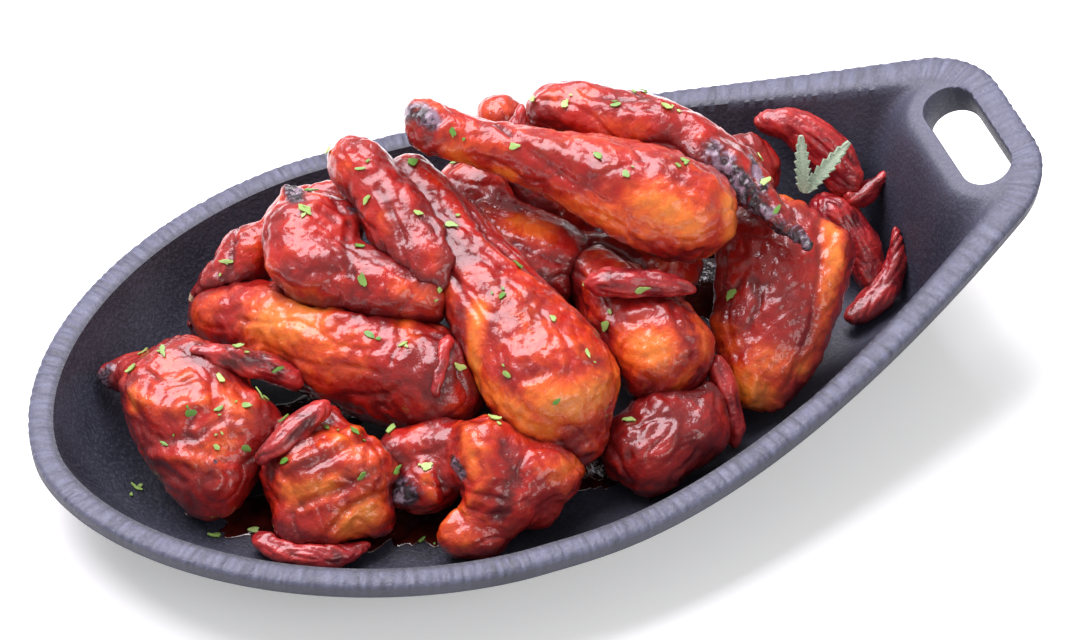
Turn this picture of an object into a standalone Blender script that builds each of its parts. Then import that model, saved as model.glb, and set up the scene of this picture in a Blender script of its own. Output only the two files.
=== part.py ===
"""Glazed chicken wings heaped in a teardrop cast-iron dish with a slotted handle.

Metres, +Z up. The dish is long in X, with its handle at +X, and stands on Z = 0. The origin is
below the middle of the dish's box. Lengths in this file are millimetres until they are used.
Every piece of food is a body of its own: limbs swept along short spines, fused and softened,
then cut back where a piece above or in front of it presses in.
"""

import math
import random

import bmesh
import bpy
import numpy as np
from mathutils import Matrix, Vector, noise
from mathutils.bvhtree import BVHTree

MM = 0.001

# Dish: outline seen from above, symmetric about the X axis
DISH_LENGTH = 312.0
DISH_HALF_WIDTH = 93.3
BLUNT_REACH = 120.6            # from the widest point to the blunt end
BLUNT_POWER = 1.82             # superellipse power of the blunt end
HANDLE_HALF_WIDTH = 29.4       # where the flank's line would meet the end edge
HANDLE_CORNER = 27.4           # corner radius of the handle's end
FLANK_SLOPE = 0.524            # the flanks' taper into the handle
FLANK_PULL = (25.0, 131.0)     # how far each end of the flank's curve runs on straight
WIDEST_X = BLUNT_REACH - DISH_LENGTH / 2.0

# Dish: heights and section
RIM_HEIGHT = 30.0
RIM_LIFT = 0.00095             # the rim climbs with the square of the way towards the handle
RIM_LIFT_START = WIDEST_X + 10.0
FLOOR_TOP = 4.6
DISH_WALL = 4.6
BAND_WIDTH = 7.5
BAND_WIDTH_HANDLE = 11.0
BAND_CROWN = 0.5
WALL_RUN = 31.0                # how far the inner wall takes to reach the floor
WALL_POWER = 2.2
BOSS_X = 141.0                 # the rounded boss that carries the handle's slot
BOSS_REACH = 11.0
BOSS_HALF_WIDTH = 15.0
BOSS_RUN = 13.0

# Dish: the slot through the handle
SLOT_X = 140.0
SLOT_WIDTH = 15.6
SLOT_LENGTH = 42.0
COLLAR_WIDTH = 3.2
COLLAR_DEPTH = 10.0
CUT_DEPTH = 60.0
FOOT_SLACK = 0.06              # what comes this near the ground is laid flat on it

# Dish: mesh counts
RIM_POINTS = 34                # on each side of the X axis
INNER_RINGS = (0.12, 0.25, 0.41, 0.66, 1.0)

# Food: how the meshes are made
GAP = 0.35                     # clear space between pieces that touch
VOXEL = 2.0
SOFTEN_ROUNDS = 5
GRAIN = 15.0                   # size of the lumps
ABOVE_ALL = 200.0              # height from which things are dropped
LIMB_SIDES = 16
LIMB_RINGS = 16
SPINE_STEPS = 10

# Herb flecks
FLECK_SEED = 7
FLECK_COUNT = 78
FLECK_SPACING = 7.5
FLECK_FIELD = (-22.0, 4.0, 104.0, 58.0)    # centre and half-sizes of the sprinkled oval
FLECK_SIZE = (1.9, 3.0)
FLECK_FUSED = 28

COLLECTION = bpy.data.collections.new("chicken_wings_serving")
CUTTERS = bpy.data.collections.new("cutters")


def clear_scene():
    """Remove what the file opens with, and link the two collections."""
    for thing in list(bpy.data.objects):
        bpy.data.objects.remove(thing)
    bpy.context.scene.collection.children.link(COLLECTION)
    bpy.context.scene.collection.children.link(CUTTERS)


def finish(name, colour, roughness, metallic=0.0):
    """A Principled material in one colour."""
    made = bpy.data.materials.new(name)
    made.use_nodes = True
    shader = made.node_tree.nodes["Principled BSDF"]
    shader.inputs["Base Color"].default_value = (*colour, 1.0)
    shader.inputs["Roughness"].default_value = roughness
    shader.inputs["Metallic"].default_value = metallic
    return made


def object_of(name, mesh, material=None, home=None):
    """Put a mesh in the scene under a name."""
    made = bpy.data.objects.new(name, mesh)
    (home or COLLECTION).objects.link(made)
    if material:
        mesh.materials.clear()
        mesh.materials.append(material)
    return made


def mesh_of(shell, name):
    """Turn a bmesh into a mesh, in metres from millimetres."""
    bmesh.ops.scale(shell, vec=(MM, MM, MM), verts=shell.verts)
    made = bpy.data.meshes.new(name)
    shell.to_mesh(made)
    shell.free()
    return made


def bake(thing):
    """Apply an object's modifiers to its mesh."""
    graph = bpy.context.evaluated_depsgraph_get()
    made = bpy.data.meshes.new_from_object(thing.evaluated_get(graph))
    thing.modifiers.clear()
    old = thing.data
    thing.data = made
    bpy.data.meshes.remove(old)


def drop(thing):
    """Remove an object and its mesh."""
    mesh = thing.data
    bpy.data.objects.remove(thing)
    bpy.data.meshes.remove(mesh)


# Dish

def rim_height(x):
    """Height of the rim at x: level at the blunt end and climbing to the handle."""
    return RIM_HEIGHT + RIM_LIFT * max(0.0, x - RIM_LIFT_START) ** 2


def dish_outline(count=400):
    """Dense points along the +Y half of the outline, from the blunt end to the handle's end."""
    points = []
    for step in range(count):
        turn = math.pi / 2.0 * step / count
        x = -BLUNT_REACH * math.cos(turn) ** (2.0 / BLUNT_POWER)
        y = DISH_HALF_WIDTH * math.sin(turn) ** (2.0 / BLUNT_POWER)
        points.append((x, y))
    end_x = DISH_LENGTH - BLUNT_REACH
    along = Vector((1.0, -FLANK_SLOPE)).normalized()
    turned = math.pi / 2.0 - math.atan2(-along.y, along.x)
    start = Vector((end_x, HANDLE_HALF_WIDTH)) - along * HANDLE_CORNER * math.tan(turned / 2.0)
    a = Vector((0.0, DISH_HALF_WIDTH))
    b = a + Vector((FLANK_PULL[0], 0.0))
    c = start - along * FLANK_PULL[1]
    for step in range(count):
        t = step / count
        p = a * (1 - t) ** 3 + 3 * b * t * (1 - t) ** 2 + 3 * c * t * t * (1 - t) + start * t ** 3
        points.append(tuple(p))
    centre = start + Vector((along.y, -along.x)) * HANDLE_CORNER
    first = math.atan2(start.y - centre.y, start.x - centre.x)
    for step in range(count // 4):
        turn = first * (1 - step / (count // 4))
        points.append((centre.x + HANDLE_CORNER * math.cos(turn),
                       centre.y + HANDLE_CORNER * math.sin(turn)))
    points.append((end_x, 0.0))
    return np.array(points) + (WIDEST_X, 0.0)


def spread(points, count, tightness=22.0):
    """Choose count + 1 points along a polyline, closer together where it turns."""
    steps = np.diff(points, axis=0)
    lengths = np.hypot(steps[:, 0], steps[:, 1])
    headings = np.unwrap(np.arctan2(steps[:, 1], steps[:, 0]))
    turns = np.abs(np.diff(headings, prepend=headings[0]))
    way = np.concatenate(([0.0], np.cumsum(lengths + tightness * turns)))
    wanted = np.linspace(0.0, way[-1], count + 1)
    return np.stack([np.interp(wanted, way, points[:, i]) for i in (0, 1)], axis=1)


DENSE = dish_outline()
DENSE_RING = np.concatenate((DENSE, DENSE[::-1] * (1.0, -1.0)))


def inset_of(x, y):
    """Distance from a place inside the dish to its outline."""
    return float(np.min(np.hypot(DENSE_RING[:, 0] - x, DENSE_RING[:, 1] - y)))


def band_width(x):
    """Width of the rim's flat band, wider round the handle."""
    share = min(1.0, max(0.0, (x - 60.0) / 90.0))
    return BAND_WIDTH + (BAND_WIDTH_HANDLE - BAND_WIDTH) * share


def ease(t):
    """Smooth step from 0 to 1."""
    t = min(1.0, max(0.0, t))
    return t * t * (3.0 - 2.0 * t)


def dish_height(x, y):
    """Height of the dish's upper surface: band, wall, floor and the boss under the handle."""
    rim = rim_height(x)
    inset = inset_of(x, y)
    band = band_width(x)
    if inset <= band:
        return rim + BAND_CROWN * math.sin(math.pi * inset / band)
    wall = min(1.0, (inset - band) / WALL_RUN)
    depth = 1.0 - (1.0 - wall) ** WALL_POWER
    away = math.hypot(min(0.0, (x - BOSS_X)) / BOSS_REACH, y / BOSS_HALF_WIDTH) - 1.0
    boss = ease(away * BOSS_HALF_WIDTH / BOSS_RUN)
    return rim - (rim - FLOOR_TOP) * depth * boss


def dish_rows():
    """Rings of places from the rim to the middle line of the dish."""
    half = spread(DENSE, RIM_POINTS)
    rim = [tuple(p) for p in half] + [(x, -y) for x, y in half[-2:0:-1]]
    count = len(rim)
    first_x = half[0][0] + 62.0
    last_x = half[-1][0] - 30.0
    rows = []
    for index, (x, y) in enumerate(rim):
        before = Vector(rim[index - 1])
        after = Vector(rim[(index + 1) % count])
        way = (after - before).normalized()
        inward = Vector((way.y, -way.x))
        share = (x - half[0][0]) / (half[-1][0] - half[0][0])
        foot = Vector((first_x + (last_x - first_x) * share, 0.0))
        place = Vector((x, y))
        band = band_width(x)
        row = [place, place + inward * 1.0, place + inward * band]
        wall_start = place + inward * (band + 1.2)
        row.append(wall_start)
        row += [wall_start.lerp(foot, share_in) for share_in in INNER_RINGS]
        rows.append(row)
    return rows


def build_dish(material):
    """The dish: its upper surface from rings, thickened, with the collar and slot."""
    rows = dish_rows()
    around = len(rows)
    across = len(rows[0])
    surface = bmesh.new()
    bmesh.ops.create_grid(surface, x_segments=across - 1, y_segments=around, size=1.0)
    surface.verts.ensure_lookup_table()
    for vert in surface.verts:
        i = round((vert.co.x + 1.0) / 2.0 * (across - 1))
        j = round((vert.co.y + 1.0) / 2.0 * around)
        x, y = rows[j % around][i]
        low = 0.9 if i == 0 else 0.0
        vert.co = (x, y, dish_height(x, y) - low)
    bmesh.ops.remove_doubles(surface, verts=surface.verts, dist=0.02)
    bmesh.ops.recalc_face_normals(surface, faces=surface.faces)
    if sum(face.normal.z * face.calc_area() for face in surface.faces) < 0.0:
        bmesh.ops.reverse_faces(surface, faces=surface.faces)
    dish = object_of("dish", mesh_of(surface, "dish"), material)
    thick = dish.modifiers.new("wall", "SOLIDIFY")
    thick.thickness = DISH_WALL * MM
    thick.offset = -1.0
    thick.use_even_offset = True
    thick.thickness_clamp = 1.0
    bake(dish)
    flatten_foot(dish.data)
    for vert_height, outward, operation in ((COLLAR_DEPTH, COLLAR_WIDTH, "UNION"),
                                            (CUT_DEPTH, 0.0, "DIFFERENCE")):
        tool = slot_prism("slot_" + operation.lower(), vert_height, outward, operation == "UNION")
        step = dish.modifiers.new(operation, "BOOLEAN")
        step.object = tool
        step.operation = operation
        bake(dish)
        drop(tool)
    dish.data.shade_smooth()
    dish.data.set_sharp_from_angle(angle=math.radians(40.0))
    return dish


def flatten_foot(mesh):
    """Rest the underside of the floor on Z = 0 exactly."""
    for vert in mesh.vertices:
        if vert.co.z < FOOT_SLACK * MM:
            vert.co.z = 0.0


def slot_prism(name, height, outward, hangs):
    """A prism of the slot's rounded outline, tilted with the handle."""
    tool = bmesh.new()
    radius = SLOT_WIDTH / 2.0 + outward
    stretch = (SLOT_LENGTH - SLOT_WIDTH) / 2.0
    bmesh.ops.create_cone(tool, cap_ends=True, segments=20, radius1=radius, radius2=radius,
                          depth=height)
    for vert in tool.verts:
        vert.co.y += math.copysign(stretch, vert.co.y)
    slope = math.atan(2.0 * RIM_LIFT * (SLOT_X - RIM_LIFT_START))
    top = rim_height(SLOT_X)
    drop_by = -height / 2.0 - 1.0 if hangs else 0.0
    bmesh.ops.translate(tool, vec=(0.0, 0.0, drop_by), verts=tool.verts)
    bmesh.ops.rotate(tool, matrix=Matrix.Rotation(-slope, 3, "Y"), verts=tool.verts)
    bmesh.ops.translate(tool, vec=(SLOT_X, 0.0, top), verts=tool.verts)
    made = object_of(name, mesh_of(tool, name), home=CUTTERS)
    made.hide_render = True
    made.display_type = "WIRE"
    return made


# Food

def spine_of(points):
    """A smooth curve through a limb's points, as places and their shares of the length."""
    knots = [Vector(point) for point in points]
    knots = [2 * knots[0] - knots[1]] + knots + [2 * knots[-1] - knots[-2]]
    places = []
    for a, b, c, d in zip(knots, knots[1:], knots[2:], knots[3:]):
        for step in range(SPINE_STEPS):
            t = step / SPINE_STEPS
            places.append(0.5 * (2 * b + (c - a) * t + (2 * a - 5 * b + 4 * c - d) * t ** 2
                                 + (3 * b - a - 3 * c + d) * t ** 3))
    places = np.array(places + [knots[-2]])
    steps = np.linalg.norm(np.diff(places, axis=0), axis=1)
    way = np.concatenate(([0.0], np.cumsum(steps)))
    return places, way / way[-1], float(way[-1])


def along_spine(places, shares, t):
    """The place at a share of a spine's length."""
    return Vector([float(np.interp(t, shares, places[:, i])) for i in range(3)])


def cap(t, first, last):
    """How a limb's section closes into a round end on each side."""
    size = 1.0
    if t < first:
        size = math.sqrt(max(0.0, 1.0 - (1.0 - t / first) ** 2))
    if t > 1.0 - last:
        size = min(size, math.sqrt(max(0.0, 1.0 - (1.0 - (1.0 - t) / last) ** 2)))
    return size


def add_limb(shell, points, stations, roll=0.0):
    """Sweep a round form along a smooth spine.

    Each station is (share of the way, width, depth). Width lies level and depth stands across
    it, both turned about the spine by roll degrees.
    """
    rows = np.array(stations, dtype=float)
    places, shares, length = spine_of(points)
    first = max(0.02, min(0.45, rows[0][1] / 2.0 / length))
    last = max(0.02, min(0.45, rows[-1][1] / 2.0 / length))
    made = bmesh.ops.create_uvsphere(shell, u_segments=LIMB_SIDES, v_segments=LIMB_RINGS,
                                     radius=1.0)
    for vert in made["verts"]:
        t = (1.0 - vert.co.z) / 2.0
        width, depth = (np.interp(t, rows[:, 0], rows[:, i]) for i in (1, 2))
        ahead = along_spine(places, shares, min(1.0, t + 0.02))
        behind = along_spine(places, shares, max(0.0, t - 0.02))
        along = (ahead - behind).normalized()
        side = along.cross(Vector((0.0, 0.0, 1.0)))
        side = side.normalized() if side.length > 0.05 else Vector((1.0, 0.0, 0.0))
        up = side.cross(along).normalized()
        turned = Matrix.Rotation(math.radians(roll), 3, along)
        ring = Vector((vert.co.x, vert.co.y))
        ring = ring.normalized() if ring.length > 1e-6 else ring
        size = cap(t, first, last) / 2.0
        vert.co = (along_spine(places, shares, t)
                   + turned @ side * (ring.x * size * width)
                   + turned @ up * (ring.y * size * depth))


def roughen(mesh, lump, grain, seed):
    """Push a mesh in and out by two octaves of smooth seeded noise, along its normals."""
    shift = Vector((seed * 3.7, seed * 1.3, seed * 7.1))
    normals = [vert.normal.copy() for vert in mesh.vertices]
    for vert, normal in zip(mesh.vertices, normals):
        place = vert.co / MM
        coarse = noise.noise(place / grain + shift)
        fine = noise.noise(place / grain * 2.0 + shift)
        vert.co += normal * (coarse + fine / 2.0) * lump * MM


def seat(mesh, bvh):
    """Lift what would sink into the dish to just above its surface."""
    for vert in mesh.vertices:
        high = Vector((vert.co.x, vert.co.y, ABOVE_ALL * MM))
        hit = bvh.ray_cast(high, Vector((0.0, 0.0, -1.0)))[0]
        if hit and vert.co.z < hit.z + GAP * MM:
            vert.co.z = hit.z + GAP * MM


def build_piece(piece, dish_bvh):
    """One piece of food from its limbs: fused, softened, seated and thinned out."""
    shell = bmesh.new()
    for limb in piece["limbs"]:
        add_limb(shell, *limb)
    made = object_of(piece["name"], mesh_of(shell, piece["name"]), piece["finish"])
    fuse = made.modifiers.new("fuse", "REMESH")
    fuse.mode = "VOXEL"
    fuse.voxel_size = piece.get("voxel", VOXEL) * MM
    smooth = made.modifiers.new("soften", "SMOOTH")
    smooth.factor = 0.5
    smooth.iterations = piece.get("soften", SOFTEN_ROUNDS)
    bake(made)
    roughen(made.data, piece["lump"], piece.get("grain", GRAIN), piece["seed"])
    seat(made.data, dish_bvh)
    thin = made.modifiers.new("thin", "DECIMATE")
    thin.ratio = min(1.0, piece["faces"] / (2.0 * len(made.data.polygons)))
    bake(made)
    seat(made.data, dish_bvh)
    keep_largest(made)
    return made


def keep_largest(thing):
    """Keep the largest closed island of a mesh and merge what coincides."""
    shell = bmesh.new()
    shell.from_mesh(thing.data)
    bmesh.ops.remove_doubles(shell, verts=shell.verts, dist=0.002 * MM)
    bmesh.ops.dissolve_degenerate(shell, edges=shell.edges, dist=0.002 * MM)
    bmesh.ops.triangulate(shell, faces=shell.faces)
    left = set(shell.verts)
    if not left:
        raise ValueError(thing.name + " lies wholly inside a neighbour")
    islands = []
    while left:
        island = set()
        edge = [left.pop()]
        while edge:
            vert = edge.pop()
            island.add(vert)
            for link in vert.link_edges:
                other = link.other_vert(vert)
                if other in left:
                    left.discard(other)
                    edge.append(other)
        islands.append(island)
    sizes = [island_size(island) for island in islands]
    main = islands[sizes.index(max(sizes))]
    bmesh.ops.delete(shell, geom=[v for v in shell.verts if v not in main], context="VERTS")
    shell.to_mesh(thing.data)
    shell.free()


def island_size(island):
    """The length of the diagonal of an island's box."""
    places = np.array([vert.co for vert in island])
    return float(np.linalg.norm(places.max(axis=0) - places.min(axis=0)))


def inflated(thing, name):
    """A slightly larger copy of a piece, to cut its neighbours with."""
    copy = object_of(name, thing.data.copy(), home=CUTTERS)
    normals = [vert.normal.copy() for vert in copy.data.vertices]
    for vert, normal in zip(copy.data.vertices, normals):
        vert.co += normal * GAP * MM
    copy.hide_render = True
    copy.display_type = "WIRE"
    return copy


def box_of(thing):
    """Lowest and highest corners of a mesh that sits at the origin."""
    places = np.array([vert.co for vert in thing.data.vertices])
    return places.min(axis=0), places.max(axis=0)


def meet(one, two):
    """Whether two boxes meet."""
    return bool(np.all(one[0] < two[1]) and np.all(two[0] < one[1]))


def cut_by(thing, cutters):
    """Cut a piece back by the larger copies of the pieces that go before it."""
    box = box_of(thing)
    for cutter in cutters:
        if not meet(box, box_of(cutter)):
            continue
        step = thing.modifiers.new("press", "BOOLEAN")
        step.operation = "DIFFERENCE"
        step.object = cutter
        bake(thing)
        keep_largest(thing)


GLAZED = finish("glazed_skin", (0.30, 0.045, 0.018), 0.25)
GOLDEN = finish("golden_skin", (0.50, 0.13, 0.03), 0.3)
DARK_GLAZE = finish("dark_glaze", (0.12, 0.012, 0.010), 0.25)
DRIED_CHILLI = finish("dried_chilli", (0.20, 0.012, 0.012), 0.35)
SAGE = finish("sage_leaf", (0.36, 0.42, 0.28), 0.7)
IRON = finish("seasoned_cast_iron", (0.018, 0.019, 0.024), 0.55, 0.3)


def piece(name, seed, faces, lump, limbs, look=GLAZED, **more):
    """One record of the heap."""
    return dict(name=name, seed=seed, faces=faces, lump=lump, limbs=limbs, finish=look, **more)


# The heap, in the order in which the pieces press into each other: the first stays whole
HEAP = [
    piece("drumette_top", 1, 420, 1.1, [
        ([(-20, 50, 75), (22, 18, 68), (59, -12, 57)],
         [(0.0, 15, 15), (0.07, 17, 16), (0.18, 14, 14), (0.35, 17, 17), (0.5, 22, 21),
          (0.68, 32, 29), (0.82, 33, 31), (0.93, 31, 30), (1.0, 25, 25)]),
        ([(-20, 52, 80), (-14, 45, 76)], [(0, 10, 10), (1, 12, 12)]),
    ], GOLDEN),
    piece("drumette_middle", 2, 460, 1.2, [
        ([(-23, 52, 60), (-15, 8, 48), (-3, -49, 29)],
         [(0.0, 15, 15), (0.08, 17, 16), (0.2, 21, 18), (0.42, 28, 23), (0.62, 36, 30),
          (0.8, 41, 35), (0.92, 39, 33), (1.0, 26, 24)]),
        ([(-8, -38, 24), (-3, -53, 24)], [(0, 26, 20), (0.6, 22, 16), (1, 16, 12)]),
    ], GOLDEN),
    piece("wing_top", 3, 410, 1.6, [
        ([(18, 50, 66), (42, 36, 67), (60, 17, 65), (67, 3, 61.5), (72.5, -10, 57), (79, -26, 53)],
         [(0.0, 17, 16), (0.1, 19, 18), (0.3, 20, 18), (0.52, 18, 16), (0.68, 16, 11),
          (0.82, 11, 7), (1.0, 2.5, 2.5)]),
        ([(50, 24, 62), (62, 10, 60)], [(0, 16, 12), (1, 14, 9)]),
        ([(73, 14, 62), (77, -1, 58)], [(0, 8, 6), (1.0, 2.5, 3)]),
    ], DARK_GLAZE, voxel=1.6, soften=3, grain=10.0),
    piece("wing_right", 4, 420, 1.2, [
        ([(52, -43, 12), (68, -18, 30), (83, 7, 46)],
         [(0.0, 12, 12), (0.15, 22, 18), (0.45, 34, 22), (0.75, 37, 22), (1.0, 32, 18)]),
        ([(58, -44, 12), (80, -27, 29), (96, -9, 42)],
         [(0.0, 10, 10), (0.4, 12, 15), (0.75, 12, 17), (1.0, 10, 13)]),
        ([(62, -14, 30), (53, -28, 22)], [(0, 20, 20), (1, 17, 17)]),
    ]),
    piece("wing_upper_left", 5, 390, 1.4, [
        ([(-59, 52, 55), (-52, 26, 48)],
         [(0.0, 14, 13), (0.3, 28, 18), (0.7, 36, 22), (1.0, 26, 18)]),
        ([(-68, 36, 48), (-46, 17, 48), (-25, 1, 44)],
         [(0.0, 16, 18), (0.3, 22, 22), (0.7, 19, 19), (1.0, 15, 16)]),
        ([(-58, 51, 57), (-57, 54, 62)], [(0, 9, 9), (1, 8, 8)]),
        ([(-44, 42, 52), (-42, 41, 59)], [(0, 9, 9), (1, 6, 6)]),
    ]),
    piece("shank_standing", 6, 300, 1.0, [
        ([(-38, 60, 66), (-31, 34, 58), (-21, 2, 44)],
         [(0.0, 16, 15), (0.12, 18, 17), (0.3, 19, 17), (0.6, 26, 22), (0.85, 28, 24),
          (1.0, 20, 20)]),
    ]),
    piece("drumette_lower_left", 7, 400, 1.3, [
        ([(-88, 52, 22), (-58, 14, 29), (-25, -24, 27)],
         [(0.0, 18, 18), (0.2, 26, 26), (0.45, 33, 34), (0.7, 35, 35), (0.9, 31, 32),
          (1.0, 22, 22)]),
    ], GOLDEN),
    piece("drumette_right", 8, 380, 1.2, [
        ([(18, 14, 38), (26, -14, 35), (33, -42, 26)],
         [(0.0, 16, 16), (0.3, 22, 22), (0.6, 32, 30), (0.85, 32, 30), (1.0, 22, 22)]),
    ], GOLDEN),
    piece("wing_folded_front", 9, 440, 1.5, [
        ([(-37, -33, 28), (-32, -48, 27), (-33, -65, 15)],
         [(0, 18, 18), (0.5, 26, 20), (1, 24, 14)]),
        ([(-34, -64, 13), (-53, -54, 12)], [(0, 18, 14), (1, 12, 11)]),
        ([(-32, -50, 24), (-18, -53, 23), (-6, -52, 20)],
         [(0, 22, 20), (0.6, 19, 17), (1, 11, 11)]),
        ([(-28, -58, 16), (-15, -57, 15)], [(0, 15, 14), (1, 10, 11)]),
        ([(-38, -38, 18), (-50, -39, 17), (-62, -37, 15)],
         [(0, 16, 16), (0.5, 17, 18), (0.78, 11, 11), (1, 13, 13)]),
        ([(-34, -33, 24), (-60, -26, 20)], [(0, 20, 20), (1, 14, 14)]),
    ], voxel=1.7, soften=3, grain=10.0),
    piece("wing_far_left", 10, 400, 1.3, [
        ([(-109, -23, 12), (-105, 8, 23), (-103, 35, 27)],
         [(0.0, 16, 14), (0.25, 28, 26), (0.5, 38, 30), (0.8, 38, 28), (1.0, 26, 20)]),
        ([(-106, 2, 22), (-82, -6, 22)], [(0, 34, 28), (0.6, 30, 24), (1, 18, 18)]),
        ([(-108, 26, 25), (-125, 38, 21)], [(0, 24, 20), (0.6, 12, 11), (1, 5, 5)]),
    ], grain=12.0),
    piece("wing_front_left", 11, 440, 1.5, [
        ([(-94, -20, 18), (-76, -27, 20), (-57, -33, 18)],
         [(0.0, 18, 18), (0.3, 30, 28), (0.7, 30, 28), (1.0, 16, 18)]),
        ([(-86, -26, 16), (-82, -47, 12)], [(0, 28, 20), (0.7, 24, 16), (1, 14, 10)]),
        ([(-76, -34, 16), (-62, -46, 13)], [(0, 22, 18), (1, 15, 12)]),
        ([(-90, -12, 24), (-64, -14, 26)], [(0, 14, 12), (1, 16, 14)]),
    ], GOLDEN, voxel=1.8, soften=4, grain=10.0),
    piece("wing_front_right", 12, 340, 1.7, [
        ([(2, -56, 15), (20, -48, 18), (42, -36, 19)],
         [(0.0, 18, 16), (0.3, 28, 24), (0.7, 31, 26), (1.0, 22, 20)]),
    ], DARK_GLAZE, grain=10.0),
    piece("wing_centre", 13, 320, 1.2, [
        ([(-14, 56, 28), (-4, 32, 36), (20, 2, 36)],
         [(0.0, 24, 24), (0.3, 34, 32), (0.6, 34, 32), (0.85, 27, 28), (1.0, 18, 20)]),
        ([(-12, 50, 42), (8, 38, 46)], [(0, 24, 22), (1, 26, 24)]),
        ([(14, 12, 34), (36, 8, 31), (56, 4, 30)], [(0, 24, 24), (0.5, 28, 26), (1, 24, 24)]),
    ]),
    piece("wing_left_edge", 14, 280, 1.2, [
        ([(-61, 57, 40), (-75, 52, 32), (-89, 44, 16)],
         [(0.0, 14, 14), (0.3, 18, 18), (0.7, 18, 18), (1.0, 13, 14)]),
        ([(-89, 44, 16), (-81, 35, 12)], [(0, 14, 12), (1, 14, 12)]),
        ([(-62, 57, 41), (-50, 55, 43), (-34, 50, 44)], [(0, 16, 14), (0.5, 20, 20), (1, 22, 20)]),
    ]),
    piece("drumette_back", 15, 320, 1.1, [
        ([(12, 62, 64), (17, 50, 44), (33, 36, 22)],
         [(0.0, 14, 14), (0.12, 16, 16), (0.3, 17, 17), (0.65, 32, 30), (1.0, 30, 28)]),
    ]),
    piece("wing_back_right", 16, 320, 1.2, [
        ([(86, 32, 48), (78, 30, 34), (56, 20, 22)],
         [(0.0, 18, 18), (0.25, 23, 21), (0.6, 28, 27), (1.0, 26, 24)]),
    ]),
]


def chilli(name, seed, points, widths, faces=150, flat=1.0):
    """A dried pepper along a few hand-placed points, with its width at each of them."""
    last = len(widths) - 1
    stations = [(index / last, width, width * flat) for index, width in enumerate(widths)]
    return piece(name, seed, faces, 0.5, [(points, stations)], DRIED_CHILLI,
                 voxel=1.0, soften=3, grain=5.0)


CHILLIES = [
    chilli("chilli_arch", 21, [(89, 42, 43), (98, 38, 43), (105, 31, 39), (110, 24, 32),
                               (111, 17, 25)], (7, 11, 14, 14, 9), 180),
    chilli("chilli_bend", 22, [(98, 21, 26), (105, 14, 21), (109, 7, 16), (109, 0, 12),
                               (106, -7, 9)], (11, 15, 14, 11, 6), 180),
    chilli("chilli_tip_up", 23, [(107, 15.5, 28), (115, 16.5, 27), (123, 18, 32)], (7, 8, 2.5), 100),
    chilli("chilli_sickle", 24, [(119, 3, 25), (116, -4, 17), (111, -9, 11), (103, -12, 9),
                                 (95, -16, 9)], (2.5, 6, 9, 9, 5), 150),
    chilli("chilli_left", 25, [(-102, 19, 39.6), (-91, 14, 36.8), (-80, 9, 32.8), (-71, 5, 26.5)],
           (3, 9, 9, 7)),
    chilli("chilli_middle", 26, [(12, -10, 50), (22, -15, 52), (32, -19, 51), (43, -23, 48)],
           (8, 9, 8.5, 3), 130),
    chilli("chilli_front_right", 27, [(44, -33, 30), (44, -41, 23), (44, -48, 14), (42, -53, 9)],
           (5, 8.5, 8, 2.5), 130),
    chilli("chilli_tip_back", 28, [(9, 37, 62), (11, 40, 69), (15, 45, 76)], (8, 7, 2), 80),
    chilli("chilli_lower_left", 29, [(-42, -26, 37), (-37, -18, 42), (-30, -9, 44.5)],
           (4, 5.5, 4), 80),
    chilli("chilli_front_left", 30, [(-97, -21, 28), (-88, -21, 33), (-79, -18, 36),
                                     (-70, -15, 36)], (6, 8, 8, 5), 130),
    chilli("chilli_under", 31, [(-102, -31, 9), (-93, -43, 10), (-82, -49, 10), (-71, -48, 10)],
           (6, 11, 10, 3), 140, 0.8),
]


# Sprig of two grey-green toothed leaflets

SPRIG_BASE = (88.0, 2.5, 49.0)
SPRIG_TIPS = ((90.0, 10.0, 65.0), (104.0, 6.0, 61.0))
LEAFLET_WIDTH = 6.4
LEAFLET_TEETH = 4
LEAFLET_THICKNESS = 0.7


def leaflet(name, tip, facing):
    """A thin toothed leaflet, wavy across and along."""
    base = Vector(SPRIG_BASE)
    way = Vector(tip) - base
    along = way.normalized()
    side = along.cross(Vector(facing)).normalized()
    out = side.cross(along)
    sheet = bmesh.new()
    rows = 2 * LEAFLET_TEETH + 2
    bmesh.ops.create_grid(sheet, x_segments=2, y_segments=rows, size=1.0)
    for vert in sheet.verts:
        t = (vert.co.y + 1.0) / 2.0
        row = round(t * rows)
        tooth = 1.0 if row % 2 else 0.62
        width = LEAFLET_WIDTH / 2.0 * tooth * (0.25 + 1.5 * math.sin(math.pi * t * 0.9) ** 0.7) / 1.6
        wave = 0.5 * math.sin(t * 7.0) + 0.35 * abs(vert.co.x)
        vert.co = base + way * t + side * (vert.co.x * max(width, 0.35)) + out * wave
    bmesh.ops.triangulate(sheet, faces=sheet.faces)
    made = object_of(name, mesh_of(sheet, name), SAGE)
    thick = made.modifiers.new("leaf", "SOLIDIFY")
    thick.thickness = LEAFLET_THICKNESS * MM
    thick.offset = 0.0
    bake(made)
    return made


def build_sprig():
    """Both leaflets, fused where they spring from one point."""
    view = (-0.27, -0.66, 0.70)
    sprig = leaflet("sprig", SPRIG_TIPS[0], view)
    other = leaflet("leaflet", SPRIG_TIPS[1], view)
    step = sprig.modifiers.new("join", "BOOLEAN")
    step.operation = "UNION"
    step.object = other
    bake(sprig)
    drop(other)
    keep_largest(sprig)
    return sprig


# Herb flecks, fused to what they lie on

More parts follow.
